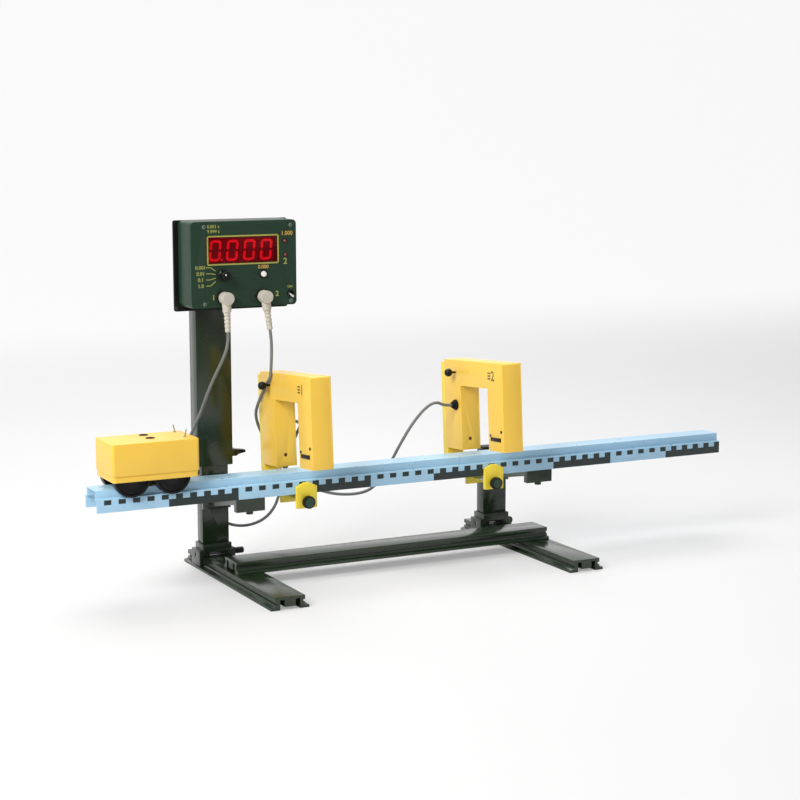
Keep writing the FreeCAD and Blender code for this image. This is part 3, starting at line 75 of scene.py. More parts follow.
class Axis(Enum):
    """A direction along which a turned piece is laid."""

    RIGHT = Vector((1, 0, 0))
    LEFT = Vector((-1, 0, 0))
    BACK = Vector((0, 1, 0))
    FRONT = Vector((0, -1, 0))
    UP = Vector((0, 0, 1))


class Pattern(Enum):
    """What a finish has besides its colour."""

    PLAIN = "plain"
    BRUSHED = "brushed"
    SCALE = "scale"
    BOARD = "board"


def paint(red: int, green: int, blue: int) -> Colour:
    """The linear colour of a painted swatch.

    Args:
        red, green, blue: the swatch as a screen shows it, from 0 to 255.

    Returns:
        The colour as a shader takes it.
    """
    def linear(value: int) -> float:
        """One channel as linear light."""
        share = value / 255
        return share / 12.92 if share <= 0.04045 else ((share + 0.055) / 1.055) ** 2.4

    return linear(red), linear(green), linear(blue)


class Value:
    """A number in a shader, on which Python's operators add Math nodes."""

    def __init__(self, shader: "Shader", socket: bpy.types.NodeSocket) -> None:
        """Keeps the socket that gives the number."""
        self.shader = shader
        self.socket = socket

    def combine(self, operation: str, first: object, second: object) -> "Value":
        """The result of one Math node.

        Args:
            operation: the node's operation.
            first, second: its inputs, numbers or Values.

        Returns:
            The node's output.
        """
        node = self.shader.node("ShaderNodeMath", {"operation": operation}, {0: first, 1: second})
        return Value(self.shader, node.outputs[0])

    def __add__(self, other: object) -> "Value":
        """The sum."""
        return self.combine("ADD", self, other)

    def __radd__(self, other: object) -> "Value":
        """The sum, the other way round."""
        return self.combine("ADD", other, self)

    def __sub__(self, other: object) -> "Value":
        """The difference."""
        return self.combine("SUBTRACT", self, other)

    def __rsub__(self, other: object) -> "Value":
        """The difference, the other way round."""
        return self.combine("SUBTRACT", other, self)

    def __mul__(self, other: object) -> "Value":
        """The product."""
        return self.combine("MULTIPLY", self, other)

    def __rmul__(self, other: object) -> "Value":
        """The product, the other way round."""
        return self.combine("MULTIPLY", other, self)

    def __truediv__(self, other: object) -> "Value":
        """The quotient."""
        return self.combine("DIVIDE", self, other)

    def __mod__(self, other: object) -> "Value":
        """What is left over, never below nought."""
        return self.combine("FLOORED_MODULO", self, other)

    def __gt__(self, other: object) -> "Value":
        """One where this is greater, and nought elsewhere."""
        return self.combine("GREATER_THAN", self, other)

    def __lt__(self, other: object) -> "Value":
        """One where this is less, and nought elsewhere."""
        return self.combine("LESS_THAN", self, other)


class Shader:
    """The node tree of one material."""

    def __init__(self, name: str) -> None:
        """Makes a material with a surface shader and its output."""
        self.material = bpy.data.materials.new(name)
        self.material.use_nodes = True
        self.tree = self.material.node_tree
        self.tree.nodes.clear()
        self.surface = self.node("ShaderNodeBsdfPrincipled")
        self.node("ShaderNodeOutputMaterial", {}, {"Surface": self.surface.outputs["BSDF"]})
        self.place = self.node("ShaderNodeTexCoord").outputs["Object"]

    def feed(self, target: bpy.types.NodeSocket, value: object) -> None:
        """Links a socket or a Value to an input, or sets the input to a number or a colour.

        Args:
            target: the input.
            value: what it gets.
        """
        if isinstance(value, Value):
            value = value.socket
        if isinstance(value, bpy.types.NodeSocket):
            self.tree.links.new(value, target)
        elif isinstance(value, tuple) and len(value) == 3 and len(target.default_value) == 4:
            target.default_value = (*value, 1)
        else:
            target.default_value = value

    def node(self, kind: str, settings: dict | None = None, inputs: dict | None = None) -> bpy.types.Node:
        """Adds a node.

        Args:
            kind: the node's type.
            settings: its fields, set first; "stops" are a ramp's places and grey levels.
            inputs: what its sockets get, by name or by number.

        Returns:
            The node.
        """
        node = self.tree.nodes.new(kind)
        for field, value in (settings or {}).items():
            if field == "stops":
                for element, (where, level) in zip(node.color_ramp.elements, value):
                    element.position = where
                    element.color = (level, level, level, 1)
            else:
                setattr(node, field, value)
        for name, value in (inputs or {}).items():
            self.feed(node.inputs[name], value)
        return node

    def split(self) -> tuple[Value, Value, Value]:
        """The place on the piece as three numbers."""
        parts = self.node("ShaderNodeSeparateXYZ", {}, {"Vector": self.place}).outputs
        return Value(self, parts[0]), Value(self, parts[1]), Value(self, parts[2])

    def noise(self, size: float, detail: float = 3.0, stretch: Point = (1, 1, 1)) -> Value:
        """Soft noise about a half.

        Args:
            size: how large its blots are, in metres.
            detail: how many finer layers it has.
            stretch: how much closer it is packed along each axis.

        Returns:
            The noise, from 0 to 1.
        """
        mapped = self.node("ShaderNodeMapping", {}, {"Vector": self.place, "Scale": stretch})
        node = self.node(
            "ShaderNodeTexNoise", {}, {"Vector": mapped.outputs[0], "Scale": 1 / size, "Detail": detail}
        )
        return Value(self, node.outputs[0])

    def ramp(self, value: Value, low: float, high: float) -> Value:
        """A number spread from 0 at one level to 1 at another, and held outside them.

        Args:
            value: the number.
            low: the level at which the result is 0.
            high: the level at which it is 1.

        Returns:
            The spread number.
        """
        stops = [(low, 0.0), (high, 1.0)]
        node = self.node("ShaderNodeValToRGB", {"stops": stops}, {"Fac": value})
        return Value(self, self.node("ShaderNodeRGBToBW", {}, {"Color": node.outputs[0]}).outputs[0])

    def mix(self, factor: object, first: object, second: object) -> bpy.types.NodeSocket:
        """Two colours mixed by a factor."""
        inputs = {0: factor, 6: first, 7: second}
        return self.node("ShaderNodeMix", {"data_type": "RGBA"}, inputs).outputs[2]

    def set(self, **inputs: object) -> None:
        """Sets or links the surface's own sockets, named with underscores for spaces."""
        for name, value in inputs.items():
            self.feed(self.surface.inputs[name.replace("_", " ")], value)

    def bump(self, height: Value, depth: float) -> None:
        """Raises the surface by a height between 0 and 1, times a depth in metres."""
        inputs = {"Height": height, "Distance": depth, "Strength": 1.0}
        self.set(Normal=self.node("ShaderNodeBump", {}, inputs).outputs[0])


def shaded(colour: Colour, share: float) -> Colour:
    """A colour made darker or lighter by a share."""
    return colour[0] * share, colour[1] * share, colour[2] * share


@dataclass(frozen=True)
class Finish:
    """A surface of the timer: its colour, gloss, mottling, grain and scuffs.

    Attributes:
        slot: the record's material slot.
        colour: the plain colour.
        roughness: from 0, a mirror, to 1, chalk.
        mottle: the share by which the colour wanders.
        grain: the size of the texture's grain.
        depth: how deep the grain is.
        metallic: 1 for bare metal.
        scuff: how much the handled surface is rubbed lighter.
        coat: the weight of a clear layer on top.
        specular: how much it mirrors when seen straight on.
        glow: the strength of its own light.
        alpha: how much it covers what is behind.
        pattern: what it has besides.
    """

    slot: str
    colour: Colour
    roughness: float = 0.5
    mottle: float = 0.05
    grain: float = 0.0007
    depth: float = 0.00002
    metallic: float = 0.0
    scuff: float = 0.0
    coat: float = 0.0
    specular: float = 0.5
    glow: float = 0.0
    alpha: float = 1.0
    pattern: Pattern = Pattern.PLAIN

    CLOUD_SIZE = 0.045
    SHEEN_SIZE = 0.012
    SHEEN_SPREAD = 0.16
    COAT_ROUGHNESS = 0.12
    RUB_SIZE = 0.006
    RUBBED_SHARE = 1.8
    RUBBED_ROUGHER = 0.2
    INK_ROUGHER = 0.08
    COPPER_SIZE = 0.004
    COPPER_LEVEL = 0.56
    COPPER_SHARE = 2.2

    def material(self, name: str) -> bpy.types.Material:
        """The finish as a material, made once for each name.

        Args:
            name: the material's name.

        Returns:
            The material.
        """
        known = bpy.data.materials.get(name)
        if known is not None:
            return known
        shader = Shader(name)
        shader.set(Metallic=self.metallic, Coat_Weight=self.coat, Coat_Roughness=self.COAT_ROUGHNESS)
        shader.set(Alpha=self.alpha, Specular_IOR_Level=self.specular)
        cloud = shader.noise(self.CLOUD_SIZE)
        low = shaded(self.colour, 1 - self.mottle)
        high = shaded(self.colour, 1 + self.mottle)
        colour = shader.mix(shader.ramp(cloud, 0.3, 0.7), low, high)
        rough = self.roughness + (shader.noise(self.SHEEN_SIZE) - 0.5) * self.SHEEN_SPREAD
        stretch = (1.0, 1.0, 1.0)
        if self.pattern is Pattern.BRUSHED:
            stretch = (0.05, 1.0, 1.0)
        grain = shader.noise(self.grain, 2.0, stretch)
        if self.scuff:
            rubbed = shader.ramp(shader.noise(self.RUB_SIZE, 6.0), 0.62, 0.78) * self.scuff
            colour = shader.mix(rubbed, colour, shaded(self.colour, self.RUBBED_SHARE))
            rough = rough + rubbed * self.RUBBED_ROUGHER
        if self.pattern is Pattern.SCALE:
            mark = TrackScale().mask(shader)
            colour = shader.mix(mark, colour, TrackScale.INK)
            rough = rough + mark * self.INK_ROUGHER
        if self.pattern is Pattern.BOARD:
            copper = shader.noise(self.COPPER_SIZE, 0.0) > self.COPPER_LEVEL
            colour = shader.mix(copper, colour, shaded(self.colour, self.COPPER_SHARE))
        if self.glow:
            shader.set(Emission_Strength=self.glow, Emission_Color=colour)
        shader.set(Base_Color=colour, Roughness=rough)
        shader.bump(grain, self.depth)
        return shader.material

    def dress(self, piece: bpy.types.Object) -> None:
        """Gives a piece this finish and its slot.

        Args:
            piece: the piece.
        """
        piece.data.materials.clear()
        piece.data.materials.append(self.material(f"{self.slot}_{self.pattern.value}"))


@dataclass(frozen=True)
class TrackScale:
    """The scale printed on the front of the track: centimetre squares and decimetre bars."""

    left: float = -0.5
    front: float = -0.0497
    square_low: float = 0.1398
    square_high: float = 0.1464
    square: float = 0.01
    bar: float = 0.1
    INK = paint(20, 38, 36)
    WEAR_SIZE = 0.0012
    WEAR_SHARE = 0.6

    def mask(self, shader: Shader) -> Value:
        """One where the ink is.

        Args:
            shader: the material that gets the marks.

        Returns:
            The mask.
        """
        x, y, z = shader.split()
        along = x - self.left
        odd_square = ((along / self.square) % 2) > 1
        odd_bar = ((along / self.bar) % 2) > 1
        squares = odd_square * (z > self.square_low) * (z < self.square_high)
        bars = odd_bar * (z < self.square_low)
        wear = 1 - shader.ramp(shader.noise(self.WEAR_SIZE, 4.0), 0.68, 0.8) * self.WEAR_SHARE
        return (squares + bars) * (y < self.front) * wear


POWDER = Finish("stand_green", paint(31, 46, 28), 0.2, 0.08, 0.0009, 0.00002, scuff=0.08, specular=0.6)
CASE_GREEN = Finish("display_green", paint(29, 54, 39), 0.42, 0.05, 0.0006, 0.00003, scuff=0.05, specular=0.3)
TRACK_BLUE = Finish(
    "track_blue", paint(158, 198, 224), 0.3, 0.03, 0.002, 0.00001, scuff=0.04, pattern=Pattern.SCALE
)
STEEL = Finish("steel", paint(176, 178, 180), 0.28, 0.05, 0.0005, 0.00001, 1.0, pattern=Pattern.BRUSHED)
BRASS = Finish("brass", paint(196, 160, 90), 0.3, 0.06, 0.0005, 0.00001, 1.0)
NYLON = Finish("nylon_white", paint(226, 226, 218), 0.5)
BLACK = Finish("black_plastic", paint(15, 16, 16), 0.38, 0.1, 0.0006, 0.00002, scuff=0.05, specular=0.25)
RUBBER = Finish("rubber_black", paint(15, 15, 15), 0.6, 0.1, 0.0005, 0.00003, specular=0.25)
WHEEL = Finish("wheel_black", paint(9, 9, 10), 0.36, 0.1, 0.0008, 0.00002, scuff=0.05, specular=0.25)
GATE_YELLOW = Finish("case_yellow", paint(240, 196, 74), 0.34, 0.02, 0.0008, 0.00003)
JAW_YELLOW = Finish("bracket_yellow", paint(232, 208, 58), 0.38, 0.04, 0.0009, 0.00003, scuff=0.06)
WINDOW = Finish("window_red", paint(98, 0, 8), 0.2, 0.02, 0.004, 0.000004, specular=0.15, alpha=0.5)
# Painted glow: the digit modules' dark red faces shine faintly with their own light, though they are no
# lamps.
MODULE_PAINTED_GLOW = Finish("digit_red", paint(138, 2, 12), 0.6, 0.05, specular=0.05, glow=0.4)
BOARD = Finish("board_green", paint(28, 104, 58), 0.35, pattern=Pattern.BOARD)
BUTTON = Finish("button_white", paint(236, 234, 226), 0.3)
PLUG = Finish("plug_grey", paint(190, 184, 172), 0.55, 0.05, 0.0007, 0.00003)
LEAD = Finish("lead_grey", paint(112, 114, 112), 0.45, 0.07, 0.0008, 0.00002)
LAMP = Finish("lamp_red", paint(120, 38, 30), 0.2, 0.03, coat=0.4)


@dataclass(frozen=True)
class Ink:
    """A printed or lit mark, whose colour isn't its slot's plain one."""

    name: str
    slot: str
    colour: Colour
    glow: float = 0.0

    def dress(self, piece: bpy.types.Object) -> None:
        """Gives a piece this ink and its slot.

        Args:
            piece: the piece.
        """
        finish = Finish(self.slot, self.colour, 0.5, 0.08, 0.0008, 0.00001, glow=self.glow)
        piece.data.materials.clear()
        piece.data.materials.append(finish.material(self.name))


OLIVE_INK = Ink("olive_print", "display_green", paint(164, 166, 78))
AMBER_INK = Ink("amber_print", "display_green", paint(210, 164, 76))
GREY_INK = Ink("grey_print", "case_yellow", paint(88, 80, 46))
# White for the knob's printed pointer, and for the highlight painted on the knob's face.
PRINT_AND_HIGHLIGHT_WHITE = Ink("pointer_print_and_painted_highlight", "button_white", paint(225, 225, 218))
LIT = Ink("lit_segment", "digit_red", paint(232, 10, 22), 2.3)
# Painted glow: the unlit bars and points shine faintly with their own light.
UNLIT_PAINTED_GLOW = Ink("unlit_segment_painted_glow", "digit_red", paint(120, 3, 12), 0.25)
CAP_GREEN = Ink("knob_cap_green", "black_plastic", paint(30, 58, 44))
SENSOR_BROWN = Ink("sensor_brown", "black_plastic", paint(88, 30, 20))
DARK_STEEL = Ink("blackened_steel", "steel", paint(38, 42, 38))
# Painted reflection: a flat light grey, not metallic, stands in for the bright reflections on the toggle's
# steel lever.
TOGGLE_PAINTED_REFLECTION = Ink("toggle_painted_reflection", "steel", paint(205, 205, 200))
SCREW_METAL = Ink("dulled_screw", "steel", paint(96, 112, 102))
PIN_GREY = Ink("pin_grey", "rubber_black", paint(150, 142, 122))


def clear_selection() -> None:
    """Leaves edit mode and selects nothing."""
    if bpy.context.object is not None and bpy.context.object.mode != "OBJECT":
        bpy.ops.object.mode_set(mode="OBJECT")
    bpy.ops.object.select_all(action="DESELECT")


def activate(piece: bpy.types.Object) -> None:
    """Selects one piece alone and makes it the active one.

    Args:
        piece: the piece.
    """
    clear_selection()
    piece.select_set(True)
    bpy.context.view_layer.objects.active = piece


def settle(piece: bpy.types.Object, name: str, turn: Matrix | None = None) -> bpy.types.Object:
    """Names a piece and puts its place into its mesh.

    Args:
        piece: the piece.
        name: its name.
        turn: a further placement, if it has one.

    Returns:
        The piece.
    """
    activate(piece)
    bpy.ops.object.transform_apply(location=True, rotation=True, scale=True)
    if turn is not None:
        piece.data.transform(turn)
    piece.name = name
    piece.data.name = name
    return piece


def edit(piece: bpy.types.Object, mode: str, wanted: Callable[[object], bool] | None = None) -> None:
    """Opens a piece for editing with chosen faces or edges selected.

    Args:
        piece: the piece.
        mode: FACE or EDGE.
        wanted: says which faces or edges, all of them if it isn't given.
    """
    activate(piece)
    mesh = piece.data
    bpy.ops.object.mode_set(mode="EDIT")
    bpy.ops.mesh.select_mode(type=mode)
    bpy.ops.mesh.select_all(action="SELECT" if wanted is None else "DESELECT")
    if wanted is not None:
        bpy.ops.object.mode_set(mode="OBJECT")
        for part in mesh.polygons if mode == "FACE" else mesh.edges:
            part.select = wanted(part)
        bpy.ops.object.mode_set(mode="EDIT")


def close() -> None:
    """Leaves edit mode."""
    bpy.ops.object.mode_set(mode="OBJECT")


def modify(piece: bpy.types.Object, kind: str, **settings: object) -> None:
    """Adds a modifier and applies it.

    Args:
        piece: the piece.
        kind: the modifier's type.
        settings: its fields.
    """
    activate(piece)
    modifier = piece.modifiers.new(kind.lower(), kind)
    for field, value in settings.items():
        setattr(modifier, field, value)
    bpy.ops.object.modifier_apply(modifier=modifier.name)


def smooth(piece: bpy.types.Object) -> None:
    """Shades the piece smooth but for its sharp edges."""
    activate(piece)
    bpy.ops.object.shade_smooth_by_angle(angle=SMOOTH_EDGE)


def soften(piece: bpy.types.Object, width: float, segments: int = 2) -> None:
    """Rounds the sharp edges of a piece.

    Args:
        piece: the piece.
        width: how wide the rounding is.
        segments: how many faces it has.
    """
    modify(
        piece, "BEVEL", width=width, segments=segments, limit_method="ANGLE", angle_limit=SHARP_EDGE,
        use_clamp_overlap=True, harden_normals=False,
    )
    smooth(piece)


def crisp_edges(piece: bpy.types.Object, wanted: Callable[[Vector], bool]) -> set[int]:
    """The sharp edges whose two ends are both wanted.

    Args:
        piece: the piece.
        wanted: says whether an end's place is wanted.

    Returns:
        The edges' numbers.
    """
    mesh = piece.data
    sides: dict[tuple[int, int], list[Vector]] = {}
    for face in mesh.polygons:
        for key in face.edge_keys:
            sides.setdefault(key, []).append(face.normal)
    crisp = set()
    for line in mesh.edges:
        normals = sides.get(line.key, [])
        if len(normals) == 2 and normals[0].angle(normals[1], 0) > SHARP_EDGE:
            if all(wanted(mesh.vertices[index].co) for index in line.vertices):
                crisp.add(line.index)
    return crisp


def round_rim(
    piece: bpy.types.Object, wanted: Callable[[Vector], bool], width: float, segments: int = 3
) -> None:
    """Rounds only the sharp edges whose ends are wanted.

    Args:
        piece: the piece.
        wanted: says whether an end's place is wanted.
        width: how wide the rounding is.
        segments: how many faces it has.
    """
    chosen = crisp_edges(piece, wanted)
    edit(piece, "EDGE", lambda line: line.index in chosen)
    bpy.ops.mesh.bevel(offset=width, segments=segments, clamp_overlap=True)
    close()


def join(pieces: list[bpy.types.Object], name: str) -> bpy.types.Object:
    """Several meshes as one piece.

    Args:
        pieces: the meshes.
        name: the name of the whole.

    Returns:
        The whole.
    """
    clear_selection()
    for piece in pieces:
        piece.select_set(True)
    bpy.context.view_layer.objects.active = pieces[0]
    if len(pieces) > 1:
        bpy.ops.object.join()
    whole = bpy.context.object
    whole.name = name
    whole.data.name = name
    return whole


def twin(piece: bpy.types.Object, turn: Matrix) -> bpy.types.Object:
    """A copy of a piece with a mesh of its own, placed anew.

    Args:
        piece: what is copied.
        turn: where the copy goes, from the first one's place.

    Returns:
        The copy.
    """
    other = piece.copy()
    other.data = piece.data.copy()
    other.data.transform(turn)
    bpy.context.scene.collection.objects.link(other)
    return other


def carve(piece: bpy.types.Object, cutter: bpy.types.Object) -> None:
    """Takes a cutter out of a piece and removes the cutter."""
    modify(piece, "BOOLEAN", operation="DIFFERENCE", object=cutter, solver="EXACT")
    bpy.data.objects.remove(cutter)


def block(low: Point, high: Point, name: str = "block") -> bpy.types.Object:
    """A block between two corners, as a start for a piece.

    Args:
        low, high: the corners.
        name: its name.

    Returns:
        The block.
    """
    clear_selection()
    centre = [(a + b) / 2 for a, b in zip(low, high)]
    size = [b - a for a, b in zip(low, high)]
    bpy.ops.mesh.primitive_cube_add(size=1, location=centre, scale=size)
    return settle(bpy.context.object, name)


def prism(sides: int, radius: float, start: Point, axis: Axis, length: float) -> bpy.types.Object:
    """A prism or cylinder from a point along an axis, as a start or a cutter.

    Args:
        sides: how many sides it has.
        radius: the radius of its corners.
        start: the middle of its near end.
        axis: the way it runs.
        length: how long it is.

    Returns:
        The prism.
    """
    clear_selection()
    middle = Vector(start) + axis.value * length / 2
    turn = Vector((0, 0, 1)).rotation_difference(axis.value).to_euler()
    bpy.ops.mesh.primitive_cylinder_add(
        vertices=sides, radius=radius, depth=length, location=middle, rotation=turn
    )
    return settle(bpy.context.object, "prism")


def turned(name: str, start: Point, axis: Axis, profile: Profile, sides: int = 48) -> bpy.types.Object:
    """A piece turned on a lathe: a disc drawn out ring by ring.

    Args:
        name: the piece's name.
        start: the middle of its first ring.
        axis: the way it grows.
        profile: each ring's distance from the start and its radius.
        sides: how many sides it has.

    Returns:
        The closed piece.
    """
    clear_selection()
    distance, radius = profile[0]
    bpy.ops.mesh.primitive_circle_add(
        vertices=sides, radius=radius, fill_type="NGON", location=(0, 0, distance)
    )
    piece = bpy.context.object
    bpy.ops.object.transform_apply(location=True, rotation=True, scale=True)
    edit(piece, "FACE")
    for far, wide in profile[1:]:
        bpy.ops.mesh.extrude_region_move(TRANSFORM_OT_translate={"value": (0, 0, far - distance)})
        bpy.ops.transform.resize(value=(wide / radius,) * 2 + (1,), center_override=(0, 0, far))
        distance, radius = far, wide
    bpy.ops.mesh.select_all(action="SELECT")
    bpy.ops.mesh.normals_make_consistent(inside=False)
    close()
    turn = Vector((0, 0, 1)).rotation_difference(axis.value).to_matrix().to_4x4()
    return settle(piece, name, Matrix.Translation(start) @ turn)


def around(piece: bpy.types.Object, start: Point, axis: Axis, count: int) -> list[bpy.types.Object]:
    """A piece repeated evenly about an axis.

    Args:
        piece: the first one.
        start: a point of the axis.
        axis: the axis.
        count: how many there are in all.

    Returns:
        All of them.
    """
    there = Matrix.Translation(start)
    pieces = [piece]
    for index in range(1, count):
        turn = Matrix.Rotation(2 * math.pi * index / count, 4, axis.value)
        pieces.append(twin(piece, there @ turn @ there.inverted()))
    return pieces


def flute(
    piece: bpy.types.Object, start: Point, axis: Axis, radius: float, length: float, count: int
) -> None:
    """Cuts grip flutes into the side of a round knob.

    Args:
        piece: the knob.
        start: the middle of the knob's near end.
        axis: the knob's axis.
        radius: the knob's radius.
        length: how long the flutes are.
        count: how many there are.
    """
    across = Vector((0, 0, 1)) if axis.value.z == 0 else Vector((1, 0, 0))
    wide = math.pi * radius / count * FLUTE_SHARE
    edge = Vector(start) + across * (radius + wide * FLUTE_STANDOFF)
    first = prism(12, wide, tuple(edge), axis, length)
    carve(piece, join(around(first, start, axis, count), "flutes"))


def finish_piece(piece: bpy.types.Object, body: str, look: Finish | Ink, *nodes: str) -> bpy.types.Object:
    """Dresses a piece, lets it ride on a body and reports it.

    Args:
        piece: the piece.
        body: the body that carries it.
        look: its finish.
        nodes: the solids that it stands for.

    Returns:
        The piece.
    """
    look.dress(piece)
    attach(piece, body)
    if nodes:
        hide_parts(*nodes)
    log.info("%s on %s, %d faces", piece.name, body, len(piece.data.polygons))
    return piece


def copy_solid(node: str, name: str) -> bpy.types.Object:
    """A solid's mesh as a new piece, with its loose triangles joined and its flat faces made whole.

    Args:
        node: the solid.
        name: the piece's name.

    Returns:
        The piece.
    """
    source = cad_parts[node]
    piece = source.copy()
    piece.data = source.data.copy()
    piece.parent = None
    piece.matrix_world = Matrix.Identity(4)
    for key in [key for key in piece.keys() if key.startswith("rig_")]:
        del piece[key]
    bpy.context.scene.collection.objects.link(piece)
    piece.name = name
    piece.data.name = name
    edit(piece, "FACE")
    bpy.ops.mesh.remove_doubles(threshold=MERGE_DISTANCE)
    bpy.ops.mesh.customdata_custom_splitnormals_clear()
    bpy.ops.mesh.dissolve_limited(angle_limit=FLAT_ANGLE)
    close()
    return piece


def rounded_solid(
    node: str, body: str, look: Finish | Ink, width: float, segments: int = 2
) -> bpy.types.Object:
    """A solid redone with its edges rounded, which stands for it.

    Args:
        node: the solid.
        body: the body that carries it.
        look: its finish.
        width: how wide the rounding is.
        segments: how many faces the rounding has.

    Returns:
        The piece.
    """
    piece = copy_solid(node, f"{node}_rounded")
    soften(piece, width, segments)
    return finish_piece(piece, body, look, node)


def words(text: str, height: float, turn: Matrix, name: str) -> bpy.types.Object:
    """Plain figures or letters as a thin raised print.

    Args:
        text: what it says.
        height: the height of its figures.
        turn: places the print, which is made in the XY plane about its middle.
        name: the piece's name.

    Returns:
        The print.
    """
    clear_selection()
    bpy.ops.object.text_add()
    piece = bpy.context.object
    piece.data.body = text
    piece.data.size = height * SIZE_PER_HEIGHT
    piece.data.extrude = PRINT_THICKNESS / 2
    piece.data.resolution_u = 3
    piece.data.align_x = "CENTER"
    piece.data.align_y = "CENTER"
    piece.data.offset = height * BOLDER
    bpy.ops.object.convert(target="MESH")
    return settle(bpy.context.object, name, turn)


def facing_front(x: float, y: float, z: float) -> Matrix:
    """Stands a print upright at a place, to be read from the front."""
    return Matrix.Translation((x, y, z)) @ Matrix.Rotation(math.pi / 2, 4, "X")


def stroke(x0: float, z0: float, x1: float, z1: float, wide: float, y: float) -> bpy.types.Object:
    """A printed line on an upright face between two places.

    Args:
        x0, z0, x1, z1: its ends.
        wide: how wide it is.
        y: how far back the face is.

    Returns:
        The line.
    """
    thin = 0.00004
    length = math.hypot(x1 - x0, z1 - z0)
    line = block((-length / 2, -thin, -wide / 2), (length / 2, thin, wide / 2), "line")
    edit(line, "EDGE", lambda edge: is_along(line, edge, 1))
    bpy.ops.mesh.bevel(offset=wide * 0.45, segments=2)
    close()
    turn = Matrix.Rotation(-math.atan2(z1 - z0, x1 - x0), 4, "Y")
    line.data.transform(Matrix.Translation(((x0 + x1) / 2, y, (z0 + z1) / 2)) @ turn)
    return line


def is_along(piece: bpy.types.Object, edge: bpy.types.MeshEdge, axis: int) -> bool:
    """Whether an edge of a piece runs along one of the axes.

    Args:
        piece: the piece.
        edge: the edge.
        axis: the axis's number.

    Returns:
        Whether it does.
    """
    first, second = (piece.data.vertices[index].co for index in edge.vertices)
    way = (second - first).normalized()
    return abs(way[axis]) > 0.99


class Camera:
    """The camera, where it stood and as it looked."""

    focal_pixels = 1893.3
    yaw = math.radians(26.98)
    pitch = math.radians(8.454)
    roll = math.radians(-0.0975)
    place = Vector((-1.2504, -2.3971, 0.6427))
    centre_offset = 1.0

    def build(self) -> None:
        """Makes the camera and hands it to the scene."""
        right = Vector((math.cos(self.yaw), -math.sin(self.yaw), 0))
        ahead = Vector((
            math.sin(self.yaw) * math.cos(self.pitch),
            math.cos(self.yaw) * math.cos(self.pitch),
            -math.sin(self.pitch),
        ))
        up = right.cross(ahead)
        across = right * math.cos(self.roll) + up * math.sin(self.roll)
        above = up * math.cos(self.roll) - right * math.sin(self.roll)
        turn = Matrix((across, above, -ahead)).transposed().to_4x4()
        data = bpy.data.cameras.new("camera")
        data.sensor_width = SENSOR_MM
        data.lens = self.focal_pixels * SENSOR_MM / FRAME_PIXELS
        data.shift_x = self.centre_offset / FRAME_PIXELS
        data.shift_y = -self.centre_offset / FRAME_PIXELS
        data.clip_end = 40
        camera = bpy.data.objects.new("camera", data)
        camera.matrix_world = Matrix.Translation(self.place) @ turn
        bpy.context.scene.collection.objects.link(camera)
        bpy.context.scene.camera = camera
        log.info("camera with a lens of %.1f mm", data.lens)


@dataclass(frozen=True)
class Lamp:
    """A large soft square lamp that looks at the object."""

    name: str
    place: Point
    size: float
    power: float
    colour: Colour

    TARGET = Vector((0, 0, 0.2))

    def hang(self) -> None:
        """Makes the lamp and turns it to the object."""
        data = bpy.data.lights.new(self.name, "AREA")
        data.energy = self.power
        data.size = self.size
        data.color = self.colour
        lamp = bpy.data.objects.new(self.name, data)
        turn = (self.TARGET - Vector(self.place)).to_track_quat("-Z", "Y")
        lamp.matrix_world = Matrix.Translation(self.place) @ turn.to_matrix().to_4x4()
        bpy.context.scene.collection.objects.link(lamp)


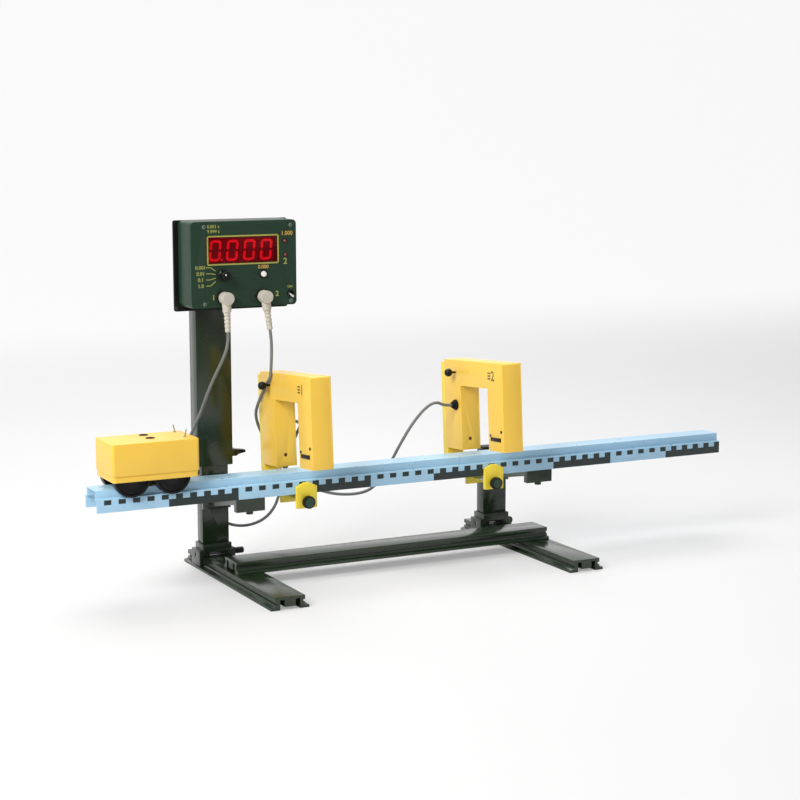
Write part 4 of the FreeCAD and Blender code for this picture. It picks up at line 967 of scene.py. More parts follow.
@dataclass
class Studio:
    """A pale floor that curves up behind, three large soft lamps and a pale world.

    Attributes:
        floor_z: how high the floor is.
        floor_half: half the floor's width.
        floor_front, floor_back: how far the floor reaches.
        wall_height: how high the backdrop is.
        curve_width: how far the curve between floor and backdrop reaches.
        near_y, far_y: between these the floor turns white in the object's reflections.
        behind_reach: how many times further back it turns white to the camera.
        white_share: how much of its look to the camera is plain white all over.
        behind_share: how much more of it is white at the back.
        far_share: how white the back is in the object's reflections.
        white_level: the strength of that white.
        world_level: the strength of the world as a light.
        lamps: the lamps.
    """

    floor_z: float = 0.0
    floor_half: float = 7.0
    floor_front: float = -1.15
    floor_back: float = 4.2
    wall_height: float = 4.0
    curve_width: float = 1.5
    near_y: float = 0.2
    far_y: float = 0.75
    behind_reach: float = 4.0
    behind_share: float = 0.56
    white_share: float = 0.3
    far_share: float = 0.95
    white_level: float = 1.05
    world_level: float = 0.3
    lamps: tuple[Lamp, ...] = (
        Lamp("key_lamp", (-2.6, -1.3, 2.2), 1.6, 114.0, (1.0, 0.985, 0.96)),
        Lamp("fill_lamp", (1.8, -2.8, 1.4), 2.0, 12.0, (0.96, 0.98, 1.0)),
        Lamp("top_lamp", (0.2, 0.9, 2.4), 2.0, 60.0, (1.0, 1.0, 1.0)),
    )

    def pale_shader(self, name: str) -> bpy.types.Material:
        """A pale surface that shows near white to the camera and still takes a shadow.

        Args:
            name: the material's name.

        Returns:
            The material.
        """
        shader = Shader(name)
        tint = shader.mix(shader.noise(0.7), paint(206, 206, 207), paint(212, 212, 213))
        shader.set(Base_Color=tint, Roughness=0.9)
        path = shader.node("ShaderNodeLightPath").outputs
        camera = Value(shader, path["Is Camera Ray"])
        glossy = Value(shader, path["Is Glossy Ray"])
        through = Value(shader, path["Is Transmission Ray"])
        depth = shader.split()[1]
        far = shader.ramp(depth, self.near_y, self.far_y)
        behind = shader.ramp(depth / self.behind_reach, self.near_y, self.far_y) * self.behind_share
        seen = (camera + through) * (self.white_share + behind) + glossy * far * self.far_share
        white = shader.node(
            "ShaderNodeEmission", {}, {"Color": (1.0, 1.0, 1.0), "Strength": self.white_level}
        )
        inputs = {0: seen, 1: shader.surface.outputs[0], 2: white.outputs[0]}
        mixed = shader.node("ShaderNodeMixShader", {}, inputs)
        output = next(node for node in shader.tree.nodes if node.type == "OUTPUT_MATERIAL")
        shader.feed(output.inputs["Surface"], mixed.outputs[0])
        return shader.material

    def build_floor(self) -> None:
        """Makes the floor with the backdrop drawn up from its far edge."""
        clear_selection()
        middle = (self.floor_front + self.floor_back) / 2
        reach = self.floor_back - middle
        bpy.ops.mesh.primitive_plane_add(size=2, location=(0, middle, self.floor_z))
        floor = bpy.context.object
        floor.scale = (self.floor_half, reach, 1)
        bpy.ops.object.transform_apply(location=True, rotation=True, scale=True)
        edit(floor, "EDGE", lambda edge: all(
            floor.data.vertices[index].co.y > self.floor_back - 0.1 for index in edge.vertices
        ))
        bpy.ops.mesh.extrude_region_move(TRANSFORM_OT_translate={"value": (0, 0, self.wall_height)})
        close()
        modify(floor, "BEVEL", width=self.curve_width, segments=12, limit_method="ANGLE")
        smooth(floor)
        settle(floor, "studio_floor")
        floor.data.materials.append(self.pale_shader("studio_white"))

    def build_world(self) -> None:
        """Makes the world, plain white to the camera and softer as a light."""
        world = bpy.data.worlds.new("studio_world")
        world.use_nodes = True
        tree = world.node_tree
        tree.nodes.clear()
        path = tree.nodes.new("ShaderNodeLightPath")
        light = tree.nodes.new("ShaderNodeBackground")
        light.inputs["Strength"].default_value = self.world_level
        seen = tree.nodes.new("ShaderNodeBackground")
        seen.inputs["Strength"].default_value = 1.0
        for shader in (light, seen):
            shader.inputs["Color"].default_value = (1, 1, 1, 1)
        choice = tree.nodes.new("ShaderNodeMixShader")
        output = tree.nodes.new("ShaderNodeOutputWorld")
        tree.links.new(path.outputs["Is Camera Ray"], choice.inputs[0])
        tree.links.new(light.outputs[0], choice.inputs[1])
        tree.links.new(seen.outputs[0], choice.inputs[2])
        tree.links.new(choice.outputs[0], output.inputs["Surface"])
        bpy.context.scene.world = world

    def build(self) -> None:
        """Makes the whole studio."""
        self.build_floor()
        self.build_world()
        for lamp in self.lamps:
            lamp.hang()
        bpy.context.scene.view_settings.view_transform = "Standard"
        log.info("studio with %d lamps", len(self.lamps))


@dataclass(frozen=True)
class Cord:
    """One stretch of a lead: its route, and the bodies at its two ends.

    Attributes:
        node: the solid that it stands for.
        length: its real length; not used.
        bodies: the body that carries its start and the one that carries its end; not used.
        bend: where it stops following the first body and where it starts following the second; not used.
        pieces: the pieces on it; not used.
        route: the points that its line is drawn through, in millimetres.
    """

    node: str
    length: float
    bodies: tuple[str, str]
    bend: tuple[Point, Point]
    pieces: tuple[str, ...]
    route: tuple[Point, ...]


LEAD_1 = Cord(
    "lead_1", 0.5956, ("stand", "gate_1"), ((-0.275, 0, 0), (-0.180, 0, 0)), ("plug_1_moulded",),
    (
        (-282.36, 24, 350.03), (-281.80, 24, 334.04), (-287.5, 31, 312), (-299.5, 49, 275),
        (-305, 68, 240), (-308.5, 90, 212), (-309, 117, 186), (-301, 137, 158), (-288, 144, 121),
        (-272, 145, 84), (-249, 143, 57), (-220, 137, 48), (-194, 124, 56), (-179.5, 110, 76),
        (-174.5, 99, 104), (-171.5, 80, 145), (-169.5, 64, 178), (-166, 55.5, 196.5),
        (-161.5, 50.8, 208.5), (-169.2, 50.03, 214.72), (-177.25, 50.03, 214.72),
    ),
)
LEAD_2_UPPER = Cord(
    "lead_2_upper", 0.0786, ("stand", "gate_1"), ((-0.2185, 0.024, 0.344), (-0.2193, 0.030, 0.281)),
    ("plug_2_moulded",),
    (
        (-219.46, 24, 350.46), (-217.65, 24, 337.58), (-217.2, 24.6, 318), (-218.4, 24.2, 297),
        (-219.35, 24.6, 285), (-219.35, 27.62, 280.9), (-219.35, 34.02, 276.1),
    ),
)
LEAD_2_MIDDLE = Cord(
    "lead_2_middle", 0.2821, ("gate_1", "stand"), ((-0.2194, 0.040, 0.271), (-0.0855, 0.045, 0.101)), (),
    (
        (-219.35, 34.02, 276.1), (-219.35, 42.02, 270.1), (-219.7, 54, 257), (-221, 68, 240),
        (-219, 83, 222), (-208, 95, 200), (-192, 99, 170), (-171, 90, 138), (-144, 71, 114),
        (-108.87, 47.5, 101), (-84, 45, 101),
    ),
)
LEAD_2_LOWER = Cord(
    "lead_2_lower", 0.2199, ("stand", "gate_2"), ((-0.082, 0.045, 0.101), (0.0725, 0.0316, 0.2226)), (),
    (
        (-84, 45, 101), (-64.1, 43, 101), (-44, 39, 115), (-26, 37, 142), (-11.5, 35, 169),
        (10.5, 33, 202.5), (33, 32, 224.5), (48.5, 31.8, 229.3), (61, 31.6, 222.62), (73, 31.6, 222.62),
    ),
)


@dataclass
class Leads:
    """The two grey leads and their right-angled plugs."""

    diameter: float = 0.0044
    voxel: float = 0.0006

    def spline(self, cord: Cord) -> bpy.types.Object:
        """The cord's line as a smooth curve with no thickness.

        Args:
            cord: the stretch of lead.

        Returns:
            The curve.
        """
        data = bpy.data.curves.new(cord.node + "_line", "CURVE")
        data.dimensions = "3D"
        line = data.splines.new("NURBS")
        line.points.add(len(cord.route) - 1)
        for point, (x, y, z) in zip(line.points, cord.route):
            point.co = (x * MM, y * MM, z * MM, 1)
        line.order_u = 3
        line.use_endpoint_u = True
        line.resolution_u = 10
        curve = bpy.data.objects.new(cord.node + "_line", data)
        bpy.context.scene.collection.objects.link(curve)
        return curve

    def lay(self, cord: Cord) -> bpy.types.Object:
        """Makes one stretch of lead as a tube along its line.

        Args:
            cord: the stretch of lead.

        Returns:
            The tube.
        """
        curve = self.spline(cord)
        path = [vertex.co.copy() for vertex in bpy.data.meshes.new_from_object(curve).vertices]
        curve.data.bevel_depth = self.diameter / 2
        curve.data.bevel_resolution = 5
        curve.data.use_fill_caps = True
        tube = bpy.data.objects.new(cord.node + "_cable", bpy.data.meshes.new_from_object(curve))
        bpy.context.scene.collection.objects.link(tube)
        bpy.data.objects.remove(curve)
        edit(tube, "FACE")
        bpy.ops.mesh.remove_doubles(threshold=MERGE_DISTANCE)
        bpy.ops.mesh.normals_make_consistent(inside=False)
        close()
        smooth(tube)
        LEAD.dress(tube)
        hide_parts(cord.node)
        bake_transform(tube)
        log.info("%s, %d points along it", tube.name, len(path))
        return tube

    def mould_plug(self, index: int) -> bpy.types.Object:
        """Makes a plug as one soft moulding over its solid.

        Args:
            index: 1 or 2.

        Returns:
            The plug.
        """
        node = f"plug_{index}"
        piece = copy_solid(node, f"{node}_moulded")
        modify(piece, "REMESH", mode="VOXEL", voxel_size=self.voxel, adaptivity=0)
        modify(piece, "SMOOTH", factor=0.5, iterations=6)
        activate(piece)
        bpy.ops.object.shade_smooth()
        return finish_piece(piece, "stand", PLUG, node)

    def build(self) -> None:
        """Makes the plugs and the four stretches of lead."""
        for index in (1, 2):
            self.mould_plug(index)
        for cord in (LEAD_1, LEAD_2_UPPER, LEAD_2_MIDDLE, LEAD_2_LOWER):
            self.lay(cord)


@dataclass
class Stand:
    """The two-footed stand with its rail, posts, mast, brackets, bolts and clamp screws."""

    edge: float = 0.0006
    cast_edge: float = 0.0011
    left_x: float = -0.274
    right_x: float = 0.1885
    post_y: float = 0.1135
    rail_y: float = 0.004
    screw_z: float = 0.0198
    saddle_half: float = 0.0275
    knob_radius: float = 0.0046
    screw_radius: float = 0.0024
    bolt_offset: float = 0.0036
    foot_head_z: float = 0.0008
    block_head_z: float = 0.103
    block_y: float = -0.025
    plate_head_y: float = 0.09438
    plate_z: float = 0.104
    plate_offset: float = 0.0155
    block_socket: float = 0.0029
    foot_socket: float = 0.0018
    plate_socket: float = 0.0022
    cut_clear: float = 0.001
    washer_radius: float = 0.0042
    washer_thickness: float = 0.0014

    def build_metalwork(self) -> None:
        """Rounds the powder-coated bars, tubes and castings, the caps, the liners and the clamp lever."""
        for node in ("feet", "cross_rail", "posts", "mast_tube", "display_clip"):
            rounded_solid(node, "stand", POWDER, self.edge)
        for node in ("post_saddles", "track_brackets"):
            rounded_solid(node, "stand", POWDER, self.cast_edge, 3)
        rounded_solid("tube_caps", "stand", BLACK, 0.0007)
        rounded_solid("mast_liners", "stand", NYLON, 0.0004)
        rounded_solid("mast_clamp_lever", "mast_clamp_lever", BLACK, 0.0009, 3)

    def socket_places(self) -> list[tuple[Point, Axis, float]]:
        """Where the bolts' hexagon sockets are.

        Returns:
            For each bolt the middle of its head, the way the socket goes in, and its radius.
        """
        places: list[tuple[Point, Axis, float]] = []
        for post_x in (self.left_x, self.right_x):
            places.append(((post_x, self.block_y, self.block_head_z), Axis.UP, self.block_socket))
            for side in (-1, 1):
                offset = side * self.bolt_offset
                foot = (post_x + offset, self.rail_y + offset, self.foot_head_z)
                places.append((foot, Axis.UP, self.foot_socket))
                plate = (post_x + side * self.plate_offset, self.plate_head_y, self.plate_z)
                places.append((plate, Axis.BACK, self.plate_socket))
        return places

    def build_bolts(self) -> None:
        """Rounds the bolts and sinks a hexagon socket into each head."""
        bolts = copy_solid("frame_bolts", "frame_bolts_socketed")
        cutters = []
        for place, axis, radius in self.socket_places():
            start = Vector(place) - axis.value * self.cut_clear
            cutters.append(prism(6, radius, tuple(start), axis, self.cut_clear + radius * 0.75))
        carve(bolts, join(cutters, "sockets"))
        soften(bolts, 0.0003, 1)
        finish_piece(bolts, "stand", DARK_STEEL, "frame_bolts")

    def build_base_knob(self, body: str, post_x: float, gap: float, long: float) -> None:
        """Makes a saddle's clamp screw with its washer and fluted knob.

        Args:
            body: the knob's body and solid.
            post_x: where its post stands.
            gap: how far the knob stands off the saddle.
            long: how long the knob is.
        """
        near = post_x + self.saddle_half
        start = (near + gap, self.post_y, self.screw_z)
        wide = self.knob_radius
        knob = turned(
            f"{body}_grip", start, Axis.RIGHT,
            [(0, wide * 0.62), (0.0012, wide * 0.7), (0.0012, wide), (long - 0.001, wide),
             (long, wide * 0.86), (long, wide * 0.4), (long - 0.0006, wide * 0.32)],
        )
        flute(knob, (start[0] + 0.0012, start[1], start[2]), Axis.RIGHT, wide, long, 10)
        soften(knob, 0.0003, 2)
        finish_piece(knob, body, BLACK, body)
        screw_start = (post_x - self.saddle_half + 0.001, self.post_y, self.screw_z)
        washer = 2 * self.saddle_half - 0.0007
        washer_end = washer + self.washer_thickness
        reach = 2 * self.saddle_half + gap - 0.001
        narrow, broad = self.screw_radius, self.washer_radius
        rod = turned(
            f"{body}_screw", screw_start, Axis.RIGHT,
            [(0, narrow * 0.7), (0.0006, narrow), (washer, narrow), (washer, broad), (washer_end, broad),
             (washer_end, narrow), (reach + 0.0004, narrow)],
            32,
        )
        smooth(rod)
        finish_piece(rod, body, STEEL)

    def build(self) -> None:
        """Makes the stand's pieces."""
        self.build_metalwork()
        self.build_bolts()
        self.build_base_knob("left_base_knob", self.left_x, gap=0.004, long=0.0143)
        self.build_base_knob("right_base_knob", self.right_x, gap=0.0019, long=0.007)


@dataclass
class Track:
    """The folded sheet-metal track with its printed scale."""

    edge: float = 0.00035

    def build(self) -> None:
        """Makes the track."""
        rounded_solid("track_rail", "stand", TRACK_BLUE, self.edge)


@dataclass(frozen=True)
class Mark:
    """A plain word or figure printed on the display's front, its height and where its middle is."""

    text: str
    height: float
    x: float
    z: float


@dataclass
class Display:
    """The green timer box with its lit digits, controls, sockets and printed marks."""

    left: float = -0.3314
    right: float = -0.1744
    low: float = 0.3835
    top: float = 0.5025
    front: float = 0.0333
    front_round: float = 0.0024
    rim_margin: float = 0.0002
    rim_inset: float = 0.004
    digit_left: float = -0.3040
    digit_pitch: float = 0.0253
    digit_width: float = 0.0172
    digit_low: float = 0.4474
    digit_height: float = 0.0291
    digit_front: float = 0.0380
    digit_count: int = 4
    digit_slant: float = 0.1
    segment: float = 0.0036
    segment_depth: float = 0.0004
    knob_x: float = -0.284
    control_z: float = 0.428
    knob_radius: float = 0.0083
    knob_height: float = 0.012
    reset_x: float = -0.2245
    toggle_x: float = -0.184
    toggle_z: float = 0.399
    lamp_places: tuple[tuple[float, float], ...] = ((-0.1917, 0.473), (-0.1912, 0.4537))
    lamp_radius: float = 0.0025
    screw_x: tuple[float, float] = (-0.3119, -0.1829)
    screw_z: tuple[float, float] = (0.389, 0.495)
    screw_radius: float = 0.0029
    flange_screw_x: tuple[float, float] = (-0.3348, -0.1710)
    flange_screw_z: float = 0.3802
    flange_screw_radius: float = 0.0026
    flange_y: float = 0.0821
    window_front: float = 0.0341
    frame_width: float = 0.0022
    frame_left: float = -0.3066
    frame_right: float = -0.2015
    frame_low: float = 0.4429
    frame_top: float = 0.4819
    print_lift: float = 0.00005
    ring_lift: float = 0.0002
    pointer_angle: float = math.radians(140)
    stroke_width: float = 0.0010
    stroke_x: tuple[float, float, float] = (-0.3095, -0.3030, -0.2955)
    range_names: tuple[str, ...] = ("0.001", "0.01", "0.1", "1.0")
    range_x: float = -0.3175
    range_height: float = 0.0050
    range_rise: float = 0.0115
    range_step: float = 0.0084
    notes: tuple[Mark, ...] = (
        Mark("0.001 s", 0.0044, -0.2980, 0.4952), Mark("9.999 s", 0.0044, -0.2980, 0.4886),
    )
    labels: tuple[Mark, ...] = (
        Mark("1", 0.0072, -0.2990, 0.3975), Mark("2", 0.0072, -0.2040, 0.3995),
        Mark("2", 0.0084, -0.1912, 0.4445), Mark("ON", 0.0034, -0.1845, 0.4088),
    )
    amber_labels: tuple[Mark, ...] = (
        Mark("0.000", 0.0050, -0.2245, 0.4378), Mark("1.000", 0.0056, -0.1885, 0.4835),
    )

    def build_case(self) -> None:
        """Makes the front shell, whose outer rim is rounded more than its openings, and the back."""
        case = copy_solid("display_case", "display_case_shell")

        def at_rim(end: Vector) -> bool:
            """Whether a place is on the front's outer rim."""
            inset = min(end.x - self.left, self.right - end.x, end.z - self.low, self.top - end.z)
            return abs(end.y - self.front) < self.rim_margin and inset < self.rim_inset

        round_rim(case, at_rim, self.front_round)
        soften(case, 0.0003, 1)
        finish_piece(case, "stand", CASE_GREEN, "display_case")
        rounded_solid("display_back", "stand", BLACK, 0.0014, 3)

    def one_segment(self, x: float, z: float, length: float, upright: bool) -> bpy.types.Object:
        """One bar of a digit, with pointed ends.

        Args:
            x, z: its middle, from the digit's lower left corner.
            length: how long it is.
            upright: whether it stands.

        Returns:
            The bar.
        """
        half = (self.segment / 2, length / 2) if upright else (length / 2, self.segment / 2)
        front = self.digit_front
        back = front - self.segment_depth
        bar = block((x - half[0], back, z - half[1]), (x + half[0], front, z + half[1]), "bar")
        edit(bar, "EDGE", lambda edge: is_along(bar, edge, 1))
        bpy.ops.mesh.bevel(offset=self.segment * 0.46, segments=1)
        close()
        return bar
    # Gives a piece this ink.

    def build_digits(self) -> None:
        """Makes the noughts, their unlit middle bars and the points, and rounds modules and window; the unlit
        bars, the unlit points and the modules' faces carry a faint painted glow.
        """
        wide = self.digit_width
        tall = self.digit_height
        thick = self.segment
        level = wide - thick * 1.25
        rise = tall / 2 - thick * 0.75
        lit = []
        for up in (thick / 2, tall - thick / 2):
            lit.append(self.one_segment(wide / 2, up, level, False))
        for across in (thick / 2, wide - thick / 2):
            for up in (tall * 0.25 + thick * 0.1, tall * 0.75 - thick * 0.1):
                lit.append(self.one_segment(across, up, rise, True))
        digit = join(lit, "digit")
        dark = join([self.one_segment(wide / 2, tall / 2, level, False)], "digit_middle")
        dot_start = (wide + 0.0022, self.digit_front - self.segment_depth, 0.0016)
        dot = turned("dot", dot_start, Axis.BACK, [(0, 0.0012), (0.0001, 0.0015), (0.0004, 0.0015)], 24)
        places = []
        for index in range(self.digit_count):
            slant = Matrix(((1, 0, self.digit_slant, 0), (0, 1, 0, 0), (0, 0, 1, 0), (0, 0, 0, 1)))
            left = self.digit_left + index * self.digit_pitch
            places.append(Matrix.Translation((left, 0, self.digit_low)) @ slant)
        shine = [twin(digit, place) for place in places] + [twin(dot, places[0])]
        dull = [twin(dark, place) for place in places] + [twin(dot, place) for place in places[1:]]
        for piece in (digit, dark, dot):
            bpy.data.objects.remove(piece)
        finish_piece(join(shine, "lit_segments"), "stand", LIT)
        # The unlit middle bars and points carry a faint painted glow.
        finish_piece(join(dull, "unlit_segments"), "stand", UNLIT_PAINTED_GLOW)
        # The modules' faces carry a faint painted glow.
        rounded_solid("digit_modules", "stand", MODULE_PAINTED_GLOW, 0.0005)
        rounded_solid("display_window", "stand", WINDOW, 0.0004)

    def build_knob(self) -> None:
        """Makes the selector knob: a skirt, a fluted grip with a small white disc painted on its face above
        and left of its middle as a highlight, a pointer and a shaft.
        """
        wide = self.knob_radius
        grip = wide - 0.0016
        tall = self.knob_height
        start = (self.knob_x, self.front - 0.0004, self.control_z)
        knob = turned(
            "selector_knob_grip", start, Axis.FRONT,
            [(0, wide - 0.0003), (0.0004, wide), (0.0024, wide), (0.003, wide - 0.0006), (0.0032, grip),
             (tall - 0.001, grip * 0.96), (tall, grip * 0.84), (tall, grip * 0.5),
             (tall - 0.0004, grip * 0.46)],
        )
        flute(knob, (start[0], start[1] - 0.0034, start[2]), Axis.FRONT, grip, tall, 18)
        soften(knob, 0.00025, 2)
        finish_piece(knob, "selector_knob", BLACK, "selector_knob")
        # Painted highlight: a small white disc on the grip's face, above and left of its middle.
        highlight_start = (start[0] - 0.0012, start[1] - tall + 0.0001, start[2] + 0.0014)
        painted_highlight = turned(
            "selector_knob_painted_highlight", highlight_start, Axis.FRONT,
            [(0, 0.0011), (0.0004, 0.0011), (0.0005, 0.0009), (0.0005, 0.0004)], 24,
        )
        smooth(painted_highlight)
        finish_piece(painted_highlight, "selector_knob", PRINT_AND_HIGHLIGHT_WHITE)
        near = grip * 0.55
        far = wide * 0.98
        right, up = math.cos(self.pointer_angle), math.sin(self.pointer_angle)
        line = stroke(
            start[0] + near * right, start[2] + near * up, start[0] + far * right, start[2] + far * up,
            0.0009, start[1] - 0.0031,
        )
        line.name = "selector_knob_pointer"
        finish_piece(line, "selector_knob", PRINT_AND_HIGHLIGHT_WHITE)
        shaft = turned(
            "selector_shaft", (start[0], self.front - 0.0014, start[2]), Axis.BACK,
            [(0, 0.0026), (0.0004, 0.003), (0.0116, 0.003), (0.012, 0.0026)], 24,
        )
        smooth(shaft)
        finish_piece(shaft, "selector_knob", STEEL)

    def build_button(self) -> None:
        """Makes the white push button in its black ring."""
        rounded_solid("reset_button", "reset_button", BUTTON, 0.0011, 3)
        start = (self.reset_x, self.front + self.ring_lift, self.control_z)
        ring = turned(
            "reset_ring", start, Axis.FRONT,
            [(0, 0.0060), (0.0013, 0.0060), (0.0018, 0.0055), (0.0018, 0.0045), (0.0014, 0.0043),
             (0, 0.0043)],
        )
        edit(ring, "FACE", lambda face: len(face.vertices) > 8)
        bpy.ops.mesh.delete(type="FACE")
        close()
        edit(ring, "EDGE", lambda edge: self.is_open(ring, edge))
        bpy.ops.mesh.bridge_edge_loops()
        bpy.ops.mesh.select_all(action="SELECT")
        bpy.ops.mesh.normals_make_consistent(inside=False)
        close()
        smooth(ring)
        finish_piece(ring, "stand", BLACK)

    def is_open(self, piece: bpy.types.Object, edge: bpy.types.MeshEdge) -> bool:
        """Whether an edge lies on one of the open rims of the button's ring.

        Args:
            piece: the ring.
            edge: the edge.

        Returns:
            Whether it does.
        """
        ends = [piece.data.vertices[index].co for index in edge.vertices]
        level = self.front + self.ring_lift
        return all(abs(end.y - level) < 0.00001 for end in ends) and self.on_ring(ends)

    def on_ring(self, ends: list[Vector]) -> bool:
        """Whether both ends stand as far from the button's axis as each other."""
        axis = Vector((self.reset_x, ends[0].y, self.control_z))
        return abs((ends[0] - axis).length - (ends[1] - axis).length) < 0.00005

    def build_toggle(self) -> None:
        """Makes the power switch's lever and nut, and rounds the bodies of the three switches."""
        lever = copy_solid("power_toggle", "power_toggle_lever")
        soften(lever, 0.0004, 3)
        # The lever gets a flat light grey as painted reflection in place of mirror-like steel.
        finish_piece(lever, "power_toggle", TOGGLE_PAINTED_REFLECTION, "power_toggle")
        start = (self.toggle_x, self.front - 0.00005, self.toggle_z)
        nut = prism(6, 0.0058, start, Axis.FRONT, 0.0008)
        carve(nut, prism(32, 0.00405, (start[0], start[1] + 0.001, start[2]), Axis.FRONT, 0.004))
        nut.name = "toggle_nut"
        soften(nut, 0.0002, 2)
        finish_piece(nut, "stand", BLACK)
        rounded_solid("panel_switches", "stand", BLACK, 0.0003)

    def build_lamps(self) -> None:
        """Makes the two small lamps, each in a black ring."""
        lenses = []
        rings = []
        wide = self.lamp_radius
        for x, z in self.lamp_places:
            start = (x, self.front + 0.004, z)
            lenses.append(turned(
                "lens", start, Axis.FRONT,
                [(0, wide), (0.0045, wide), (0.0054, wide * 0.9), (0.006, wide * 0.62), (0.0062, wide * 0.2)],
            ))
            rings.append(turned(
                "ring", (x, self.front + 0.0005, z), Axis.FRONT,
                [(0, wide + 0.0009), (0.0008, wide + 0.0009), (0.0011, wide + 0.0004), (0.0011, wide * 0.9)],
            ))
        lens = join(lenses, "indicator_lenses")
        smooth(lens)
        finish_piece(lens, "stand", LAMP, "indicator_lamps")
        ring = join(rings, "indicator_rings")
        smooth(ring)
        finish_piece(ring, "stand", BLACK)

    def build_screws(self) -> None:
        """Makes the four cross-head screws in the front and the two black ones in the flange."""
        screws = []
        for x in self.screw_x:
            for z in self.screw_z:
                screws.append(pan_screw((x, self.front, z), Axis.FRONT, self.screw_radius))
        screw = join(screws, "case_screw_heads")
        smooth(screw)
        finish_piece(screw, "stand", SCREW_METAL, "case_screws")
        flange = join([
            pan_screw((x, self.flange_y, self.flange_screw_z), Axis.FRONT, self.flange_screw_radius)
            for x in self.flange_screw_x
        ], "flange_screw_heads")
        smooth(flange)
        finish_piece(flange, "stand", DARK_STEEL)

    def build_marks(self) -> None:
        """Prints plain figures, the strokes beside the selector and the window's outline."""
        glass = self.window_front - self.print_lift
        left, right, low, top = self.frame_left, self.frame_right, self.frame_low, self.frame_top
        corners = ((left, low), (right, low), (right, top), (left, top), (left, low))
        outline = [
            stroke(*start, *end, self.frame_width, glass) for start, end in zip(corners, corners[1:])
        ]
        y = self.front - self.print_lift
        figures = self.print_marks(self.notes)
        far, bend, end = self.stroke_x
        for index, name in enumerate(self.range_names):
            z = self.control_z + self.range_rise - index * self.range_step
            figures += self.print_marks((Mark(name, self.range_height, self.range_x, z),))
            near = self.control_z + (z - self.control_z) * 0.55
            figures.append(stroke(far, z, bend, z, self.stroke_width, y))
            figures.append(stroke(bend, z, end, near, self.stroke_width, y))
        figures += self.print_marks(self.labels)
        finish_piece(join(outline, "window_outline"), "stand", OLIVE_INK)
        finish_piece(join(figures, "panel_figures"), "stand", OLIVE_INK)
        amber = self.print_marks(self.amber_labels)
        finish_piece(join(amber, "panel_amber_figures"), "stand", AMBER_INK)

    def print_marks(self, marks: Iterable[Mark]) -> list[bpy.types.Object]:
        """Prints words or figures on the front.

        Args:
            marks: what is printed.

        Returns:
            The prints.
        """
        y = self.front - self.print_lift
        return [words(mark.text, mark.height, facing_front(mark.x, y, mark.z), "figure") for mark in marks]

    def build_inside(self) -> None:
        """Rounds the sockets, the board and the battery holder."""
        for node, look, width in (
            ("lead_sockets", BLACK, 0.0004), ("main_board", BOARD, 0.0002), ("battery_pack", BLACK, 0.0005),
        ):
            rounded_solid(node, "stand", look, width)

    def build(self) -> None:
        """Makes the display's pieces."""
        self.build_case()
        self.build_digits()
        self.build_knob()
        self.build_button()
        self.build_toggle()
        self.build_lamps()
        self.build_screws()
        self.build_marks()
        self.build_inside()


def pan_screw(start: Point, axis: Axis, radius: float) -> bpy.types.Object:
    """A low domed screw head with a cross recess, on a short shank.

    Args:
        start: the middle of the face that it stands on.
        axis: the way that it stands out.
        radius: the head's radius.

    Returns:
        The screw.
    """
    sunk = Vector(start) - axis.value * 0.003
    head = turned(
        "screw", tuple(sunk), axis,
        [(0, radius * 0.5), (0.0028, radius * 0.5), (0.0029, radius), (0.0034, radius * 0.96),
         (0.0039, radius * 0.72), (0.0041, radius * 0.3)], 24,
    )
    depth = radius * 0.5
    cutters = []
    middle = Vector(start) + axis.value * 0.001
    for long_way in (0, 1, 2):
        if abs(axis.value[long_way]) > 0.5:
            continue
        half = [radius * 0.11] * 3
        half[long_way] = radius * 0.52
        for index in range(3):
            if abs(axis.value[index]) > 0.5:
                half[index] = depth
        low = [a - b for a, b in zip(middle, half)]
        high = [a + b for a, b in zip(middle, half)]
        cutters.append(block(tuple(low), tuple(high)))
    for cutter in cutters:
        carve(head, cutter)
    return head


